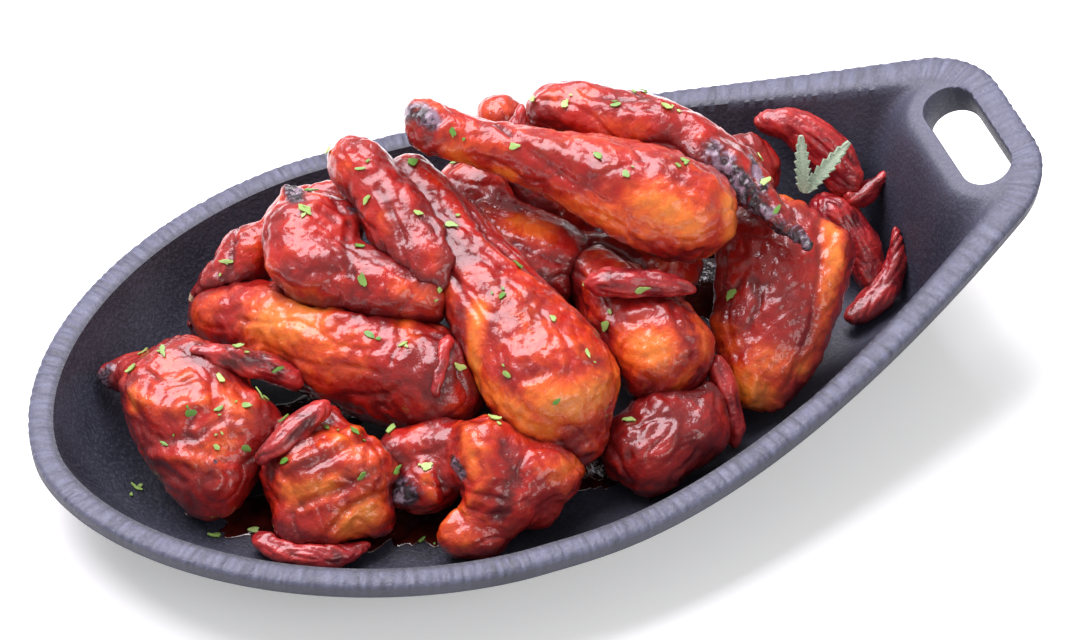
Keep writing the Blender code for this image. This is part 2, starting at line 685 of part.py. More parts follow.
def fleck_spots():
    """Places of the sprinkled flecks, by a seeded rule with even spacing."""
    draw = random.Random(FLECK_SEED)
    centre_x, centre_y, half_x, half_y = FLECK_FIELD
    spots = []
    while len(spots) < FLECK_COUNT:
        x = draw.uniform(-1.0, 1.0)
        y = draw.uniform(-1.0, 1.0)
        length = draw.uniform(*FLECK_SIZE)
        turn = draw.uniform(0.0, math.pi)
        if x * x + y * y > 1.0:
            continue
        place = (centre_x + x * half_x, centre_y + y * half_y)
        if all(math.dist(place, spot[:2]) > FLECK_SPACING for spot in spots):
            spots.append((*place, length, turn))
    return spots


def fleck(place, normal, length, turn):
    """A flat scrap of leaf, half sunk in what it lies on."""
    scrap = bmesh.new()
    bmesh.ops.create_icosphere(scrap, subdivisions=1, radius=0.5)
    bmesh.ops.scale(scrap, vec=(length, length * 0.62, 1.1), verts=scrap.verts)
    lie = normal.to_track_quat("Z", "Y").to_matrix() @ Matrix.Rotation(turn, 3, "Z")
    bmesh.ops.rotate(scrap, matrix=lie, verts=scrap.verts)
    bmesh.ops.translate(scrap, vec=Vector(place) / MM + normal * 0.1, verts=scrap.verts)
    return object_of("fleck", mesh_of(scrap, "fleck"), home=CUTTERS)


def sprinkle(pieces):
    """Drop each fleck on the piece below it, and fuse the longest ones there."""
    trees = {thing.name: tree_of(thing) for thing in pieces}
    chosen = {}
    for x, y, length, turn in sorted(fleck_spots(), key=lambda spot: -spot[2]):
        high = Vector((x, y, ABOVE_ALL)) * MM
        hits = {name: tree.ray_cast(high, Vector((0, 0, -1))) for name, tree in trees.items()}
        hits = {name: hit for name, hit in hits.items() if hit[0]}
        if not hits:
            continue
        name = max(hits, key=lambda key: hits[key][0].z)
        place, normal = hits[name][:2]
        reach = (length * 0.5 + 1.2) * MM
        clear = all(tree.find_nearest(place)[3] > reach
                    for other, tree in trees.items() if other != name)
        total = sum(len(flecks) for flecks in chosen.values())
        if normal.z > 0.45 and clear and total < FLECK_FUSED and name.startswith(FLESHY):
            chosen.setdefault(name, []).append(fleck(place, normal, length, turn))
    for name, flecks in chosen.items():
        fuse_flecks(bpy.data.objects[name], flecks)


FLESHY = ("drumette", "wing", "shank")


def tree_of(thing):
    """A search tree over a mesh at the origin."""
    mesh = thing.data
    return BVHTree.FromPolygons([vert.co.copy() for vert in mesh.vertices],
                                [tuple(face.vertices) for face in mesh.polygons])


def fuse_flecks(thing, flecks):
    """One union of a piece with all its flecks."""
    group = bpy.data.collections.new("flecks")
    bpy.context.scene.collection.children.link(group)
    for scrap in flecks:
        group.objects.link(scrap)
    step = thing.modifiers.new("flecks", "BOOLEAN")
    step.operation = "UNION"
    step.operand_type = "COLLECTION"
    step.collection = group
    bake(thing)
    for scrap in flecks:
        drop(scrap)
    bpy.data.collections.remove(group)
    keep_largest(thing)


def main():
    clear_scene()
    dish = build_dish(IRON)
    dish_bvh = tree_of(dish)
    pieces = []
    cutters = []
    for entry in HEAP + CHILLIES:
        made = build_piece(entry, dish_bvh)
        whole = inflated(made, entry["name"] + "_press")
        cut_by(made, cutters)
        cutters.append(whole)
        pieces.append(made)
    sprig = build_sprig()
    cut_by(sprig, cutters)
    sprinkle(pieces + [sprig, dish])
    for cutter in cutters:
        drop(cutter)
    for made in pieces:
        made.data.shade_smooth()
        made.data.set_sharp_from_angle(angle=math.radians(50.0))


main()
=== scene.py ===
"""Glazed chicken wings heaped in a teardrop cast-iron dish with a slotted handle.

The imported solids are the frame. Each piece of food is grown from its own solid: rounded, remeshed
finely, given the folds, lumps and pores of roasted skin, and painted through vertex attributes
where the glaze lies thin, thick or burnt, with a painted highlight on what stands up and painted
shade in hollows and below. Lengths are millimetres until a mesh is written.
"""

import logging
import math
import random
from dataclasses import dataclass, field
from enum import Enum

import bmesh
import bpy
import numpy as np
from mathutils import Matrix, Vector, noise
from mathutils.bvhtree import BVHTree


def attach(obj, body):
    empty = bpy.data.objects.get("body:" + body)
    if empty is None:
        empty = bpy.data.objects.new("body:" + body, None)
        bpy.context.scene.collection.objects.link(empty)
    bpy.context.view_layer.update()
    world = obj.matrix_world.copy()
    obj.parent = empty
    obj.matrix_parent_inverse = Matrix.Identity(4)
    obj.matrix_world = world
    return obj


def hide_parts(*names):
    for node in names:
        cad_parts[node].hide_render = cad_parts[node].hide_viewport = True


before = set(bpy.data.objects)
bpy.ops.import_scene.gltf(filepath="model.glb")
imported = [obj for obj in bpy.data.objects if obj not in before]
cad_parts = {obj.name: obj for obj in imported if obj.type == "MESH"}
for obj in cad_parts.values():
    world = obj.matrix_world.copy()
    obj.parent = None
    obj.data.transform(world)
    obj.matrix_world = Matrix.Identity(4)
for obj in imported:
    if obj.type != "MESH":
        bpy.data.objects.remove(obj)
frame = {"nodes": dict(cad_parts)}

LOG = logging.getLogger("serving")
MM = 0.001
BODY = "root"
DOWN = Vector((0.0, 0.0, -1.0))
SKY = 0.2                          # a height above the whole serving, in metres
EVEN_REACH = 9.0                   # smoothing passes, times the size of those cubes
GRAIN_SHIFT = (3.71, 1.93, 7.17)   # how far one step of a seed moves a pattern, in grains
CELL_SHIFT = (2.3, 5.1, 0.7)


# Helpers

def linear(code: str) -> tuple[float, float, float, float]:
    """Turn an sRGB hex code into a linear colour, by the standard's own curve.

    Args:
        code: six hex digits, with or without a leading hash.

    Returns:
        Linear red, green and blue, and an alpha of 1.
    """
    code = code.lstrip("#")
    values = [int(code[i:i + 2], 16) / 255.0 for i in (0, 2, 4)]
    return (*(v / 12.92 if v <= 0.04045 else ((v + 0.055) / 1.055) ** 2.4 for v in values), 1.0)


def ease(t: np.ndarray | float) -> np.ndarray | float:
    """Smooth step from 0 to 1."""
    t = np.clip(t, 0.0, 1.0)
    return t * t * (3.0 - 2.0 * t)


def object_of(name: str, mesh: bpy.types.Mesh) -> bpy.types.Object:
    """Put a mesh in the scene under a name, at the origin.

    Args:
        name: the object's name.
        mesh: its mesh.

    Returns:
        The new object.
    """
    made = bpy.data.objects.new(name, mesh)
    bpy.context.scene.collection.objects.link(made)
    return made


def mesh_from(shell: bmesh.types.BMesh, name: str) -> bpy.types.Mesh:
    """Turn a bmesh in millimetres into a mesh in metres, and free it.

    Args:
        shell: the bmesh.
        name: the mesh's name.

    Returns:
        The new mesh.
    """
    bmesh.ops.scale(shell, vec=(MM, MM, MM), verts=shell.verts)
    made = bpy.data.meshes.new(name)
    shell.to_mesh(made)
    shell.free()
    return made


def bake(thing: bpy.types.Object) -> None:
    """Apply an object's modifiers to its mesh.

    Args:
        thing: the object.
    """
    graph = bpy.context.evaluated_depsgraph_get()
    made = bpy.data.meshes.new_from_object(thing.evaluated_get(graph))
    thing.modifiers.clear()
    old = thing.data
    thing.data = made
    bpy.data.meshes.remove(old)


def places_of(mesh: bpy.types.Mesh) -> np.ndarray:
    """A mesh's vertices in millimetres, one row each.

    Args:
        mesh: the mesh.

    Returns:
        Rows of x, y and z.
    """
    flat = np.empty(len(mesh.vertices) * 3)
    mesh.vertices.foreach_get("co", flat)
    return flat.reshape(-1, 3) / MM


def put_places(mesh: bpy.types.Mesh, places: np.ndarray) -> None:
    """Write vertices given in millimetres back to a mesh."""
    mesh.vertices.foreach_set("co", (places * MM).ravel())
    mesh.update()


def normals_of(mesh: bpy.types.Mesh) -> np.ndarray:
    """A mesh's vertex normals, one row each.

    Args:
        mesh: the mesh.

    Returns:
        Rows of x, y and z.
    """
    flat = np.empty(len(mesh.vertices) * 3)
    mesh.vertices.foreach_get("normal", flat)
    return flat.reshape(-1, 3)


def grain(places: np.ndarray, size: float, seed: float) -> np.ndarray:
    """Smooth seeded noise at each place.

    Args:
        places: rows of x, y, z in millimetres.
        size: the size of one lump in millimetres.
        seed: shifts the pattern.

    Returns:
        One value in about -1 to 1 for each row.
    """
    spots = places / size + seed * np.array(GRAIN_SHIFT)
    return np.fromiter((noise.noise(spot) for spot in spots), float, len(spots))


def cells(places: np.ndarray, size: float, seed: float) -> np.ndarray:
    """How near each place is to the middle of its cell: 1 at the middle and 0 half a cell away.

    Args:
        places: rows of x, y, z in millimetres.
        size: spacing of the cells.
        seed: shifts the pattern.

    Returns:
        One value for each row.
    """
    spots = places / size + seed * np.array(CELL_SHIFT)
    near = np.fromiter((noise.voronoi(spot)[0][0] for spot in spots), float, len(spots))
    return np.clip(1.0 - 2.0 * near, 0.0, 1.0)


def tree_of(things: list[bpy.types.Object]) -> BVHTree:
    """One search tree over several meshes that sit at the origin, in metres.

    Args:
        things: their objects.

    Returns:
        The tree.
    """
    points: list[Vector] = []
    faces: list[tuple[int, ...]] = []
    for thing in things:
        first = len(points)
        points += [vert.co.copy() for vert in thing.data.vertices]
        faces += [tuple(first + i for i in face.vertices) for face in thing.data.polygons]
    return BVHTree.FromPolygons(points, faces)


def distance_to(places: np.ndarray, a: np.ndarray, b: np.ndarray) -> np.ndarray:
    """How far each place is from the straight run between two points.

    Args:
        places: rows of x, y, z.
        a: one end.
        b: the other.

    Returns:
        One distance for each row.
    """
    way = b - a
    share = np.clip((places - a) @ way / max(1e-9, way @ way), 0.0, 1.0)
    return np.linalg.norm(places - a - share[:, None] * way, axis=1)


def ground_below(ground: BVHTree, x: float, y: float) -> tuple[Vector | None, Vector | None]:
    """The highest place, in metres, at an x and y in millimetres, and its normal."""
    return ground.ray_cast(Vector((x * MM, y * MM, SKY)), DOWN)[:2]


def smooth(thing: bpy.types.Object, sharp: float = 180.0) -> None:
    """Shade a piece smooth, with edges sharper than an angle kept crisp.

    Args:
        thing: the piece.
        sharp: the angle in degrees.
    """
    thing.data.shade_smooth()
    if sharp < 180.0:
        thing.data.set_sharp_from_angle(angle=math.radians(sharp))


def settle(thing: bpy.types.Object, look: bpy.types.Material, slot: str, *nodes: str) -> None:
    """Give a finished piece its material and its body, and hide the solids that it stands for.

    Args:
        thing: the piece.
        look: its material.
        slot: the record's material slot; not used.
        nodes: the solids, none for a piece that is only added.
    """
    thing.data.materials.clear()
    thing.data.materials.append(look)
    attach(thing, BODY)
    if nodes:
        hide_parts(*nodes)
    LOG.info("%s: %d faces", thing.name, len(thing.data.polygons))


# Viewpoint

@dataclass(frozen=True)
class Viewpoint:
    """The photograph's camera, in the frame's axes.

    Attributes:
        azimuth: how far it is turned about +Z from looking along +Y, in degrees.
        elevation: how far it looks down, in degrees.
        distance: how far it stands from its target, in metres.
        target: the point on the ground in the middle of the picture, in metres.
        focal_px: focal length in pixels of the photograph.
        width: the photograph's width in pixels.
        height: the photograph's height in pixels.
        sensor: width of the camera's sensor in millimetres.
        sight: how far the camera sees, in metres.
    """

    azimuth: float = -22.4976
    elevation: float = 44.1291
    distance: float = 2.49587
    target: tuple[float, float, float] = (0.0140552, 0.0289975, 0.0)
    focal_px: float = 8284.547
    width: int = 1080
    height: int = 640
    sensor: float = 36.0
    sight: float = 20.0

    def axes(self) -> tuple[Vector, Vector, Vector]:
        """The camera's right, up and backward directions.

        Returns:
            Three unit vectors.
        """
        turn, lift = math.radians(self.azimuth), math.radians(self.elevation)
        back = Vector((math.sin(turn) * math.cos(lift), -math.cos(turn) * math.cos(lift),
                       math.sin(lift)))
        right = Vector((math.cos(turn), math.sin(turn), 0.0))
        return right, back.cross(right), back

    def eye(self) -> Vector:
        """Where the camera stands."""
        return Vector(self.target) + self.axes()[2] * self.distance

    def ray(self, px: float, py: float) -> Vector:
        """The direction from the camera through a pixel of the photograph.

        Args:
            px: the pixel's column.
            py: its row.

        Returns:
            A unit vector.
        """
        right, up, back = self.axes()
        return (right * ((px - self.width / 2) / self.focal_px)
                + up * ((self.height / 2 - py) / self.focal_px) - back).normalized()

    def build(self) -> None:
        """Create the camera and make it the scene's."""
        lens = bpy.data.cameras.new("camera")
        lens.sensor_width = self.sensor
        lens.lens = self.focal_px * self.sensor / self.width
        lens.clip_end = self.sight
        made = bpy.data.objects.new("camera", lens)
        bpy.context.scene.collection.objects.link(made)
        right, up, back = self.axes()
        turned = Matrix((right, up, back)).transposed().to_4x4()
        made.matrix_world = Matrix.Translation(self.eye()) @ turned
        bpy.context.scene.camera = made


VIEW = Viewpoint()


# Finishes

class Layer(Enum):
    """Vertex attributes that carry a finish over a piece, from 0 to 1, some of them painted light
    and shade.
    """

    GOLD = "gold"
    MAROON = "maroon"
    CHAR = "char"
    PALE = "pale"
    HIGH = "high"
    PAINTED_SHEEN = "worn"
    SHADE = "shade"
    RIB = "rib"

    def read(self) -> dict[str, str]:
        """Settings of the node that reads the attribute."""
        return {"attribute_name": self.value}


def paint(mesh: bpy.types.Mesh, layer: Layer, values: np.ndarray) -> None:
    """Store one number per vertex in an attribute, kept within 0 and 1."""
    stored = mesh.attributes.new(layer.value, "FLOAT", "POINT")
    stored.data.foreach_set("value", np.clip(values, 0.0, 1.0).astype(np.float32))


def per(millimetres: float) -> float:
    """Scale of a pattern whose grains are so many millimetres across."""
    return 1.0 / (millimetres * MM)


class Nodes:
    """A material being wired: adds nodes with their settings and links."""

    def __init__(self, name: str) -> None:
        """Start a material with one Principled shader.

        Args:
            name: the material's name.
        """
        self.material = bpy.data.materials.new(name)
        self.material.use_nodes = True
        self.tree = self.material.node_tree
        self.shader = self.tree.nodes["Principled BSDF"]

    def join(self, node: bpy.types.Node, values: dict[str, object]) -> None:
        """Set or link inputs by name, with underscores for spaces, or in_0 for input 0.

        Args:
            node: the node.
            values: for each input, a socket to link from or a plain value.
        """
        for key, value in values.items():
            socket = node.inputs[int(key[3:]) if key.startswith("in_") else key.replace("_", " ")]
            if isinstance(value, bpy.types.NodeSocket):
                self.tree.links.new(value, socket)
            else:
                socket.default_value = value

    def add(self, kind: str, out: str | int, settings: dict | None = None,
            **values: object) -> bpy.types.NodeSocket:
        """Add a node with its settings and links.

        Args:
            kind: the node's type name, without ShaderNode.
            out: the output that is wanted.
            settings: attributes of the node.
            values: its inputs, each a socket to link from or a plain value.

        Returns:
            The output named.
        """
        made = self.tree.nodes.new("ShaderNode" + kind)
        for key, value in (settings or {}).items():
            setattr(made, key, value)
        self.join(made, values)
        return made.outputs[out]

    def finish(self, **values: object) -> bpy.types.Material:
        """Set or link the shader's inputs, and hand over the material."""
        self.join(self.shader, values)
        return self.material


SMOOTH = {"interpolation_type": "SMOOTHSTEP"}
MIXED = {"data_type": "RGBA"}
TIMES = {"operation": "MULTIPLY"}
LIFTED = {"operation": "MULTIPLY_ADD"}
PLUS = {"operation": "ADD"}


@dataclass(frozen=True)
class RoastedSkin:
    """Roasted chicken skin under a wet chilli glaze.

    The skin glows a little from below, and the glaze lies over it as a clear smooth coat. Where
    the glaze is thin the skin is golden, where it collects it is maroon, and tips are burnt. The
    golden layer also carries a painted highlight on what stands up, and the maroon layer carries
    painted shade in hollows, between pieces and below them.

    Attributes:
        patch: width of the broad patches of glaze, in millimetres.
        mottle: width of the mottling inside a patch.
        pit: width of the finest pits.
        pore: spacing of the feather pores.
        bead: width of the beads in the wet coat.
        ripple: width of the coat's own ripples.
        pitted: depth of the skin's pits.
        rippled: height of the coat's ripples.
    """

    name: str = "glazed_roasted_skin"
    glaze: str = "#b41b12"
    glaze_deep: str = "#860f0d"
    orange: str = "#dd4f18"
    golden: str = "#ee8632"
    maroon: str = "#701214"
    burnt: str = "#20141a"
    ash: str = "#8f7486"
    cartilage: str = "#ecd2ae"
    patch: float = 12.0
    mottle: float = 4.4
    pit: float = 0.9
    pore: float = 2.4
    bead: float = 1.7
    ripple: float = 4.2
    pitted: float = 0.5
    rippled: float = 0.6

    def build(self) -> bpy.types.Material:
        """Wire the material."""
        n = Nodes(self.name)
        spot = n.add("TexCoord", "Object")
        broad = n.add("TexNoise", "Fac", Vector=spot, Scale=per(self.patch), Detail=4.0)
        fine = n.add("TexNoise", "Fac", Vector=spot, Scale=per(self.mottle), Detail=6.0,
                     Roughness=0.66, Distortion=0.7)
        tiny = n.add("TexNoise", "Fac", Vector=spot, Scale=per(self.pit), Detail=2.0)
        rough_broad = n.add("Math", 0, LIFTED, in_0=broad, in_1=0.55, in_2=-0.275)
        rugged = n.add("Math", 0, LIFTED, in_0=fine, in_1=1.1, in_2=-0.55)
        rugged = n.add("Math", 0, PLUS, in_0=rugged, in_1=rough_broad)
        uneven = n.add("Math", 0, LIFTED, in_0=rugged, in_1=1.6, in_2=1.0)
        colour = n.add("Mix", 2, MIXED, in_6=linear(self.glaze_deep), in_7=linear(self.glaze),
                       in_0=n.add("MapRange", 0, SMOOTH, Value=broad, From_Min=0.3, From_Max=0.6))
        # Orange and golden where the glaze is thin, with a painted highlight on what stands up.
        thin = n.add("Math", 0, PLUS, in_0=rugged,
                     in_1=n.add("Attribute", "Fac", Layer.GOLD.read()))
        orange_thin_and_lit = n.add("MapRange", 0, SMOOTH, Value=thin, From_Min=0.15, From_Max=0.8)
        golden_thin_and_lit = n.add("MapRange", 0, SMOOTH, Value=thin, From_Min=0.5, From_Max=1.25)
        colour = n.add("Mix", 2, MIXED, in_0=orange_thin_and_lit, in_6=colour, in_7=linear(self.orange))
        colour = n.add("Mix", 2, MIXED, in_0=golden_thin_and_lit, in_6=colour, in_7=linear(self.golden))
        # Maroon where the glaze is thick, with painted shade in hollows, between the pieces and on
        # their undersides.
        thick = n.add("Math", 0, TIMES, in_0=uneven,
                      in_1=n.add("Attribute", "Fac", Layer.MAROON.read()))
        thick = n.add("MapRange", 0, SMOOTH, Value=thick, From_Min=0.14, From_Max=1.05)
        colour = n.add("Mix", 2, MIXED, in_0=thick, in_6=colour, in_7=linear(self.maroon))
        pores = n.add("TexVoronoi", "Distance", Vector=spot, Scale=per(self.pore))
        pores = n.add("MapRange", 0, SMOOTH, Value=pores, From_Min=0.06, From_Max=0.18,
                      To_Min=0.4, To_Max=0.0)
        pored = n.add("MapRange", 0, SMOOTH, Value=broad, From_Min=0.5, From_Max=0.64)
        colour = n.add("Mix", 2, MIXED, in_0=n.add("Math", 0, TIMES, in_0=pores, in_1=pored),
                       in_6=colour, in_7=linear(self.maroon))
        bare = n.add("Math", 0, TIMES, in_0=uneven,
                     in_1=n.add("Attribute", "Fac", Layer.PALE.read()))
        bare = n.add("MapRange", 0, SMOOTH, Value=bare, From_Min=0.4, From_Max=0.75)
        colour = n.add("Mix", 2, MIXED, in_0=bare, in_6=colour, in_7=linear(self.cartilage))
        charred = n.add("Math", 0, TIMES, in_0=uneven,
                        in_1=n.add("Attribute", "Fac", Layer.CHAR.read()))
        charred = n.add("MapRange", 0, SMOOTH, Value=charred, From_Min=0.3, From_Max=0.8)
        ashen = n.add("MapRange", 0, SMOOTH, Value=fine, From_Min=0.46, From_Max=0.62)
        soot = n.add("Mix", 2, MIXED, in_0=ashen, in_6=linear(self.burnt), in_7=linear(self.ash))
        colour = n.add("Mix", 2, MIXED, in_0=charred, in_6=colour, in_7=soot)
        lumps = n.add("Math", 0, LIFTED, in_0=tiny, in_1=0.3, in_2=fine)
        skin = n.add("Bump", "Normal", Height=lumps, Strength=1.0, Distance=self.pitted * MM)
        beads = n.add("TexNoise", "Fac", Vector=spot, Scale=per(self.bead), Detail=2.0)
        film = n.add("TexNoise", "Fac", Vector=spot, Scale=per(self.ripple), Detail=3.0,
                     Roughness=0.5)
        film = n.add("Math", 0, LIFTED, in_0=beads, in_1=0.3, in_2=film)
        film = n.add("Bump", "Normal", Height=film, Strength=1.0, Distance=self.rippled * MM)
        dull = n.add("MapRange", 0, Value=charred, To_Min=0.34, To_Max=0.62)
        return n.finish(Base_Color=colour, Roughness=dull, Specular_IOR_Level=0.3,
                        Subsurface_Weight=0.1, Subsurface_Radius=(1.0, 0.25, 0.08),
                        Subsurface_Scale=0.002,
                        Coat_Weight=1.0, Coat_Roughness=0.05, Coat_IOR=1.46,
                        Normal=skin, Coat_Normal=film)


@dataclass(frozen=True)
class DriedChilliSkin:
    """Dried whole chilli: thin leathery skin, deep red and satin, with painted shade in its
    wrinkles and a painted highlight on its crests.

    Attributes:
        patch: width of the darker patches, in millimetres.
        crinkle: width of the finest crinkles.
        crinkled: depth of the finest crinkles.
    """

    name: str = "dried_chilli_skin"
    red: str = "#9a1620"
    dark: str = "#55090f"
    highlight_red: str = "#c2302c"
    patch: float = 6.0
    crinkle: float = 1.1
    crinkled: float = 0.3

    def build(self) -> bpy.types.Material:
        """Wire the material."""
        n = Nodes(self.name)
        spot = n.add("TexCoord", "Object")
        broad = n.add("TexNoise", "Fac", Vector=spot, Scale=per(self.patch), Detail=3.0)
        fine = n.add("TexNoise", "Fac", Vector=spot, Scale=per(self.crinkle), Detail=3.0)
        patch = n.add("MapRange", 0, SMOOTH, Value=broad, From_Min=0.32, From_Max=0.6)
        colour = n.add("Mix", 2, MIXED, in_0=patch, in_6=linear(self.dark), in_7=linear(self.red))
        # A painted highlight on the crests in a brighter red; the wrinkles stay darker as painted
        # shade.
        high = n.add("Attribute", "Fac", Layer.HIGH.read())
        high = n.add("MapRange", 0, SMOOTH, Value=high, From_Min=0.35, From_Max=1.0)
        colour = n.add("Mix", 2, MIXED, in_0=high, in_6=colour, in_7=linear(self.highlight_red))
        crinkled = n.add("Bump", "Normal", Height=fine, Strength=1.0,
                         Distance=self.crinkled * MM)
        return n.finish(Base_Color=colour, Roughness=0.34, Subsurface_Weight=0.08,
                        Subsurface_Radius=(1.0, 0.25, 0.15), Subsurface_Scale=0.0015,
                        Coat_Weight=0.6, Coat_Roughness=0.14, Normal=crinkled)


@dataclass(frozen=True)
class CastIron:
    """Seasoned cast iron from a sand mould: matt blue-black with a fine pebbled grain.

    The rim, the boss and the handle's end are painted paler where they face up, in streaks that run
    across the rim: a painted sheen of the overhead light.

    Attributes:
        cloud: width of the clouds of lighter iron, in millimetres.
        pebble: width of a sand grain's print, drawn a little coarse so that it shows.
        pebbled: height of the pebbles.
    """

    name: str = "seasoned_cast_iron"
    dark: str = "#1c1e2a"
    light: str = "#353643"
    glint: str = "#4c4d60"
    # Colour of the painted sheen on iron that faces up.
    worn: str = "#66687f"
    cloud: float = 30.0
    pebble: float = 1.1
    pebbled: float = 0.28

    def build(self) -> bpy.types.Material:
        """Wire the material."""
        n = Nodes(self.name)
        spot = n.add("TexCoord", "Object")
        cloud = n.add("TexNoise", "Fac", Vector=spot, Scale=per(self.cloud), Detail=5.0)
        pebbles = n.add("TexNoise", "Fac", Vector=spot, Scale=per(self.pebble), Detail=3.0,
                        Roughness=0.6)
        cloud = n.add("MapRange", 0, SMOOTH, Value=cloud, From_Min=0.3, From_Max=0.7)
        colour = n.add("Mix", 2, MIXED, in_0=cloud, in_6=linear(self.dark), in_7=linear(self.light))
        tops = n.add("MapRange", 0, SMOOTH, Value=pebbles, From_Min=0.45, From_Max=0.75,
                     To_Max=0.5)
        colour = n.add("Mix", 2, MIXED, in_0=tops, in_6=colour, in_7=linear(self.glint))
        # Painted sheen: paler iron where the overhead light would be reflected.
        rim = n.add("Attribute", "Fac", Layer.PAINTED_SHEEN.read())
        colour = n.add("Mix", 2, MIXED, in_0=rim, in_6=colour, in_7=linear(self.worn))
        grainy = n.add("Bump", "Normal", Height=pebbles, Strength=1.0,
                       Distance=self.pebbled * MM)
        dull = n.add("MapRange", 0, SMOOTH, Value=pebbles, From_Min=0.3, From_Max=0.7,
                     To_Min=0.44, To_Max=0.6)
        return n.finish(Base_Color=colour, Metallic=0.0, Roughness=dull,
                        Specular_IOR_Level=0.6, Normal=grainy)


@dataclass(frozen=True)
class Sauce:
    """Thin oily glaze run off the wings: dark, wet and smooth.

    Attributes:
        cloud: width of its thinner places, in millimetres.
        ripple: width of the ripples on it.
        rippled: height of the ripples.
    """

    name: str = "wet_sauce"
    thick: str = "#260806"
    thin: str = "#42120b"
    cloud: float = 4.0
    ripple: float = 2.6
    rippled: float = 0.3

    def build(self) -> bpy.types.Material:
        """Wire the material."""
        n = Nodes(self.name)
        spot = n.add("TexCoord", "Object")
        cloud = n.add("TexNoise", "Fac", Vector=spot, Scale=per(self.cloud), Detail=3.0)
        cloud = n.add("MapRange", 0, SMOOTH, Value=cloud, From_Min=0.4, From_Max=0.65)
        colour = n.add("Mix", 2, MIXED, in_0=cloud, in_6=linear(self.thick), in_7=linear(self.thin))
        ripple = n.add("TexNoise", "Fac", Vector=spot, Scale=per(self.ripple), Detail=2.0)
        ripple = n.add("Bump", "Normal", Height=ripple, Strength=1.0, Distance=self.rippled * MM)
        return n.finish(Base_Color=colour, Roughness=0.07, Coat_Weight=1.0, Coat_Roughness=0.04,
                        Normal=ripple)


@dataclass(frozen=True)
class HerbLeaf:
    """Chopped fresh green herb: soft leaf, each scrap its own green.

    Attributes:
        vein: spacing of the fine veins, in millimetres.
        veined: height of the veins.
    """

    name: str = "chopped_herb"
    green: str = "#5c8f33"
    light: str = "#b3cd78"
    vein: float = 0.5
    veined: float = 0.1

    def build(self) -> bpy.types.Material:
        """Wire the material."""
        n = Nodes(self.name)
        spot = n.add("TexCoord", "Object")
        shade = n.add("Attribute", "Fac", Layer.SHADE.read())
        colour = n.add("Mix", 2, MIXED, in_0=shade, in_6=linear(self.green),
                       in_7=linear(self.light))
        veins = n.add("TexNoise", "Fac", Vector=spot, Scale=per(self.vein))
        veins = n.add("Bump", "Normal", Height=veins, Strength=1.0, Distance=self.veined * MM)
        return n.finish(Base_Color=colour, Roughness=0.42, Subsurface_Weight=0.2,
                        Subsurface_Radius=(0.6, 1.0, 0.3), Subsurface_Scale=0.001, Normal=veins)


@dataclass(frozen=True)
class SilverLeaf:
    """Downy grey-green leaf: matt, paler along its rib and in tufts of down.

    Attributes:
        down: width of a tuft of hairs, in millimetres.
        felted: height of the down.
    """

    name: str = "downy_leaf"
    leaf: str = "#8ea387"
    rib: str = "#b9c8ae"
    hairs: str = "#d5dfca"
    down: float = 0.45
    felted: float = 0.2

    def build(self) -> bpy.types.Material:
        """Wire the material."""
        n = Nodes(self.name)
        spot = n.add("TexCoord", "Object")
        down = n.add("TexNoise", "Fac", Vector=spot, Scale=per(self.down), Detail=3.0)
        rib = n.add("Attribute", "Fac", Layer.RIB.read())
        colour = n.add("Mix", 2, MIXED, in_0=rib, in_6=linear(self.leaf), in_7=linear(self.rib))
        tufts = n.add("MapRange", 0, SMOOTH, Value=down, From_Min=0.4, From_Max=0.7, To_Max=0.35)
        colour = n.add("Mix", 2, MIXED, in_0=tufts, in_6=colour, in_7=linear(self.hairs))
        felt = n.add("Bump", "Normal", Height=down, Strength=1.0, Distance=self.felted * MM)
        return n.finish(Base_Color=colour, Roughness=0.8, Sheen_Weight=0.4, Sheen_Roughness=0.6,
                        Normal=felt)


# Dish

@dataclass(frozen=True)
class Swing:
    """Smooth seeded noise along the rim.

    Attributes:
        size: how far it swings to each side.
        along: how fast it changes round the rim, per millimetre.
        seed: shifts it.
        across: how fast it changes across the band, per millimetre.
    """

    size: float
    along: float
    seed: float
    across: float = 0.0

    def at(self, way: float, inset: float = 0.0) -> float:
        """Its value at a way round the rim and an inset from the rim's edge."""
        spot = (way * self.along, self.seed, inset * self.across)
        return self.size * noise.noise(spot)


@dataclass(frozen=True)
class Flutes:
    """Hammered flutes across the rim's band: uneven scallops with soft ridges between them.

    Attributes:
        pitch: distance from one flute to the next, in millimetres.
        depth: depth of a flute.
        drift: how its place wanders, in radians of the pitch.
        jitter: the same, from one flute to the next.
        lean: how much it leans along the rim, in radians a millimetre.
        leaning: how its lean varies.
        strength: how deep it is on average, as a share of the depth.
        uneven: how its depth varies.
        least: the share of the depth that each one keeps.
        sharp: above 1 the floors are wide and the ridges narrow.
        fade: width of the band's inner edge where it runs out.
    """

    pitch: float = 3.4
    depth: float = 0.42
    drift: Swing = Swing(5.0, 0.05, 3.0)
    jitter: Swing = Swing(1.6, 0.2, 9.0)
    lean: float = 0.16
    leaning: Swing = Swing(0.2, 0.1, 6.0)
    strength: float = 0.65
    uneven: Swing = Swing(0.9, 0.22, 17.0, 0.15)
    least: float = 0.1
    sharp: float = 1.6
    fade: float = 1.6

    def dip(self, way: float, total: float, inset: float, band: float) -> float:
        """How far a flute dips at a place.

        Args:
            way: the way round the rim.
            total: the rim's whole length.
            inset: distance in from the rim's edge.
            band: width of the band there.

        Returns:
            The depth in millimetres.
        """
        count = round(total / self.pitch)
        drift = self.drift.at(way) + self.jitter.at(way)
        lean = inset * (self.lean + self.leaning.at(way))
        wave = 0.5 - 0.5 * math.cos(2.0 * math.pi * count * way / total + drift + lean)
        uneven = max(self.least, self.strength + self.uneven.at(way, inset))
        inner = float(ease((band - inset) / self.fade))
        return self.depth * (1.0 - wave ** self.sharp) * uneven * inner


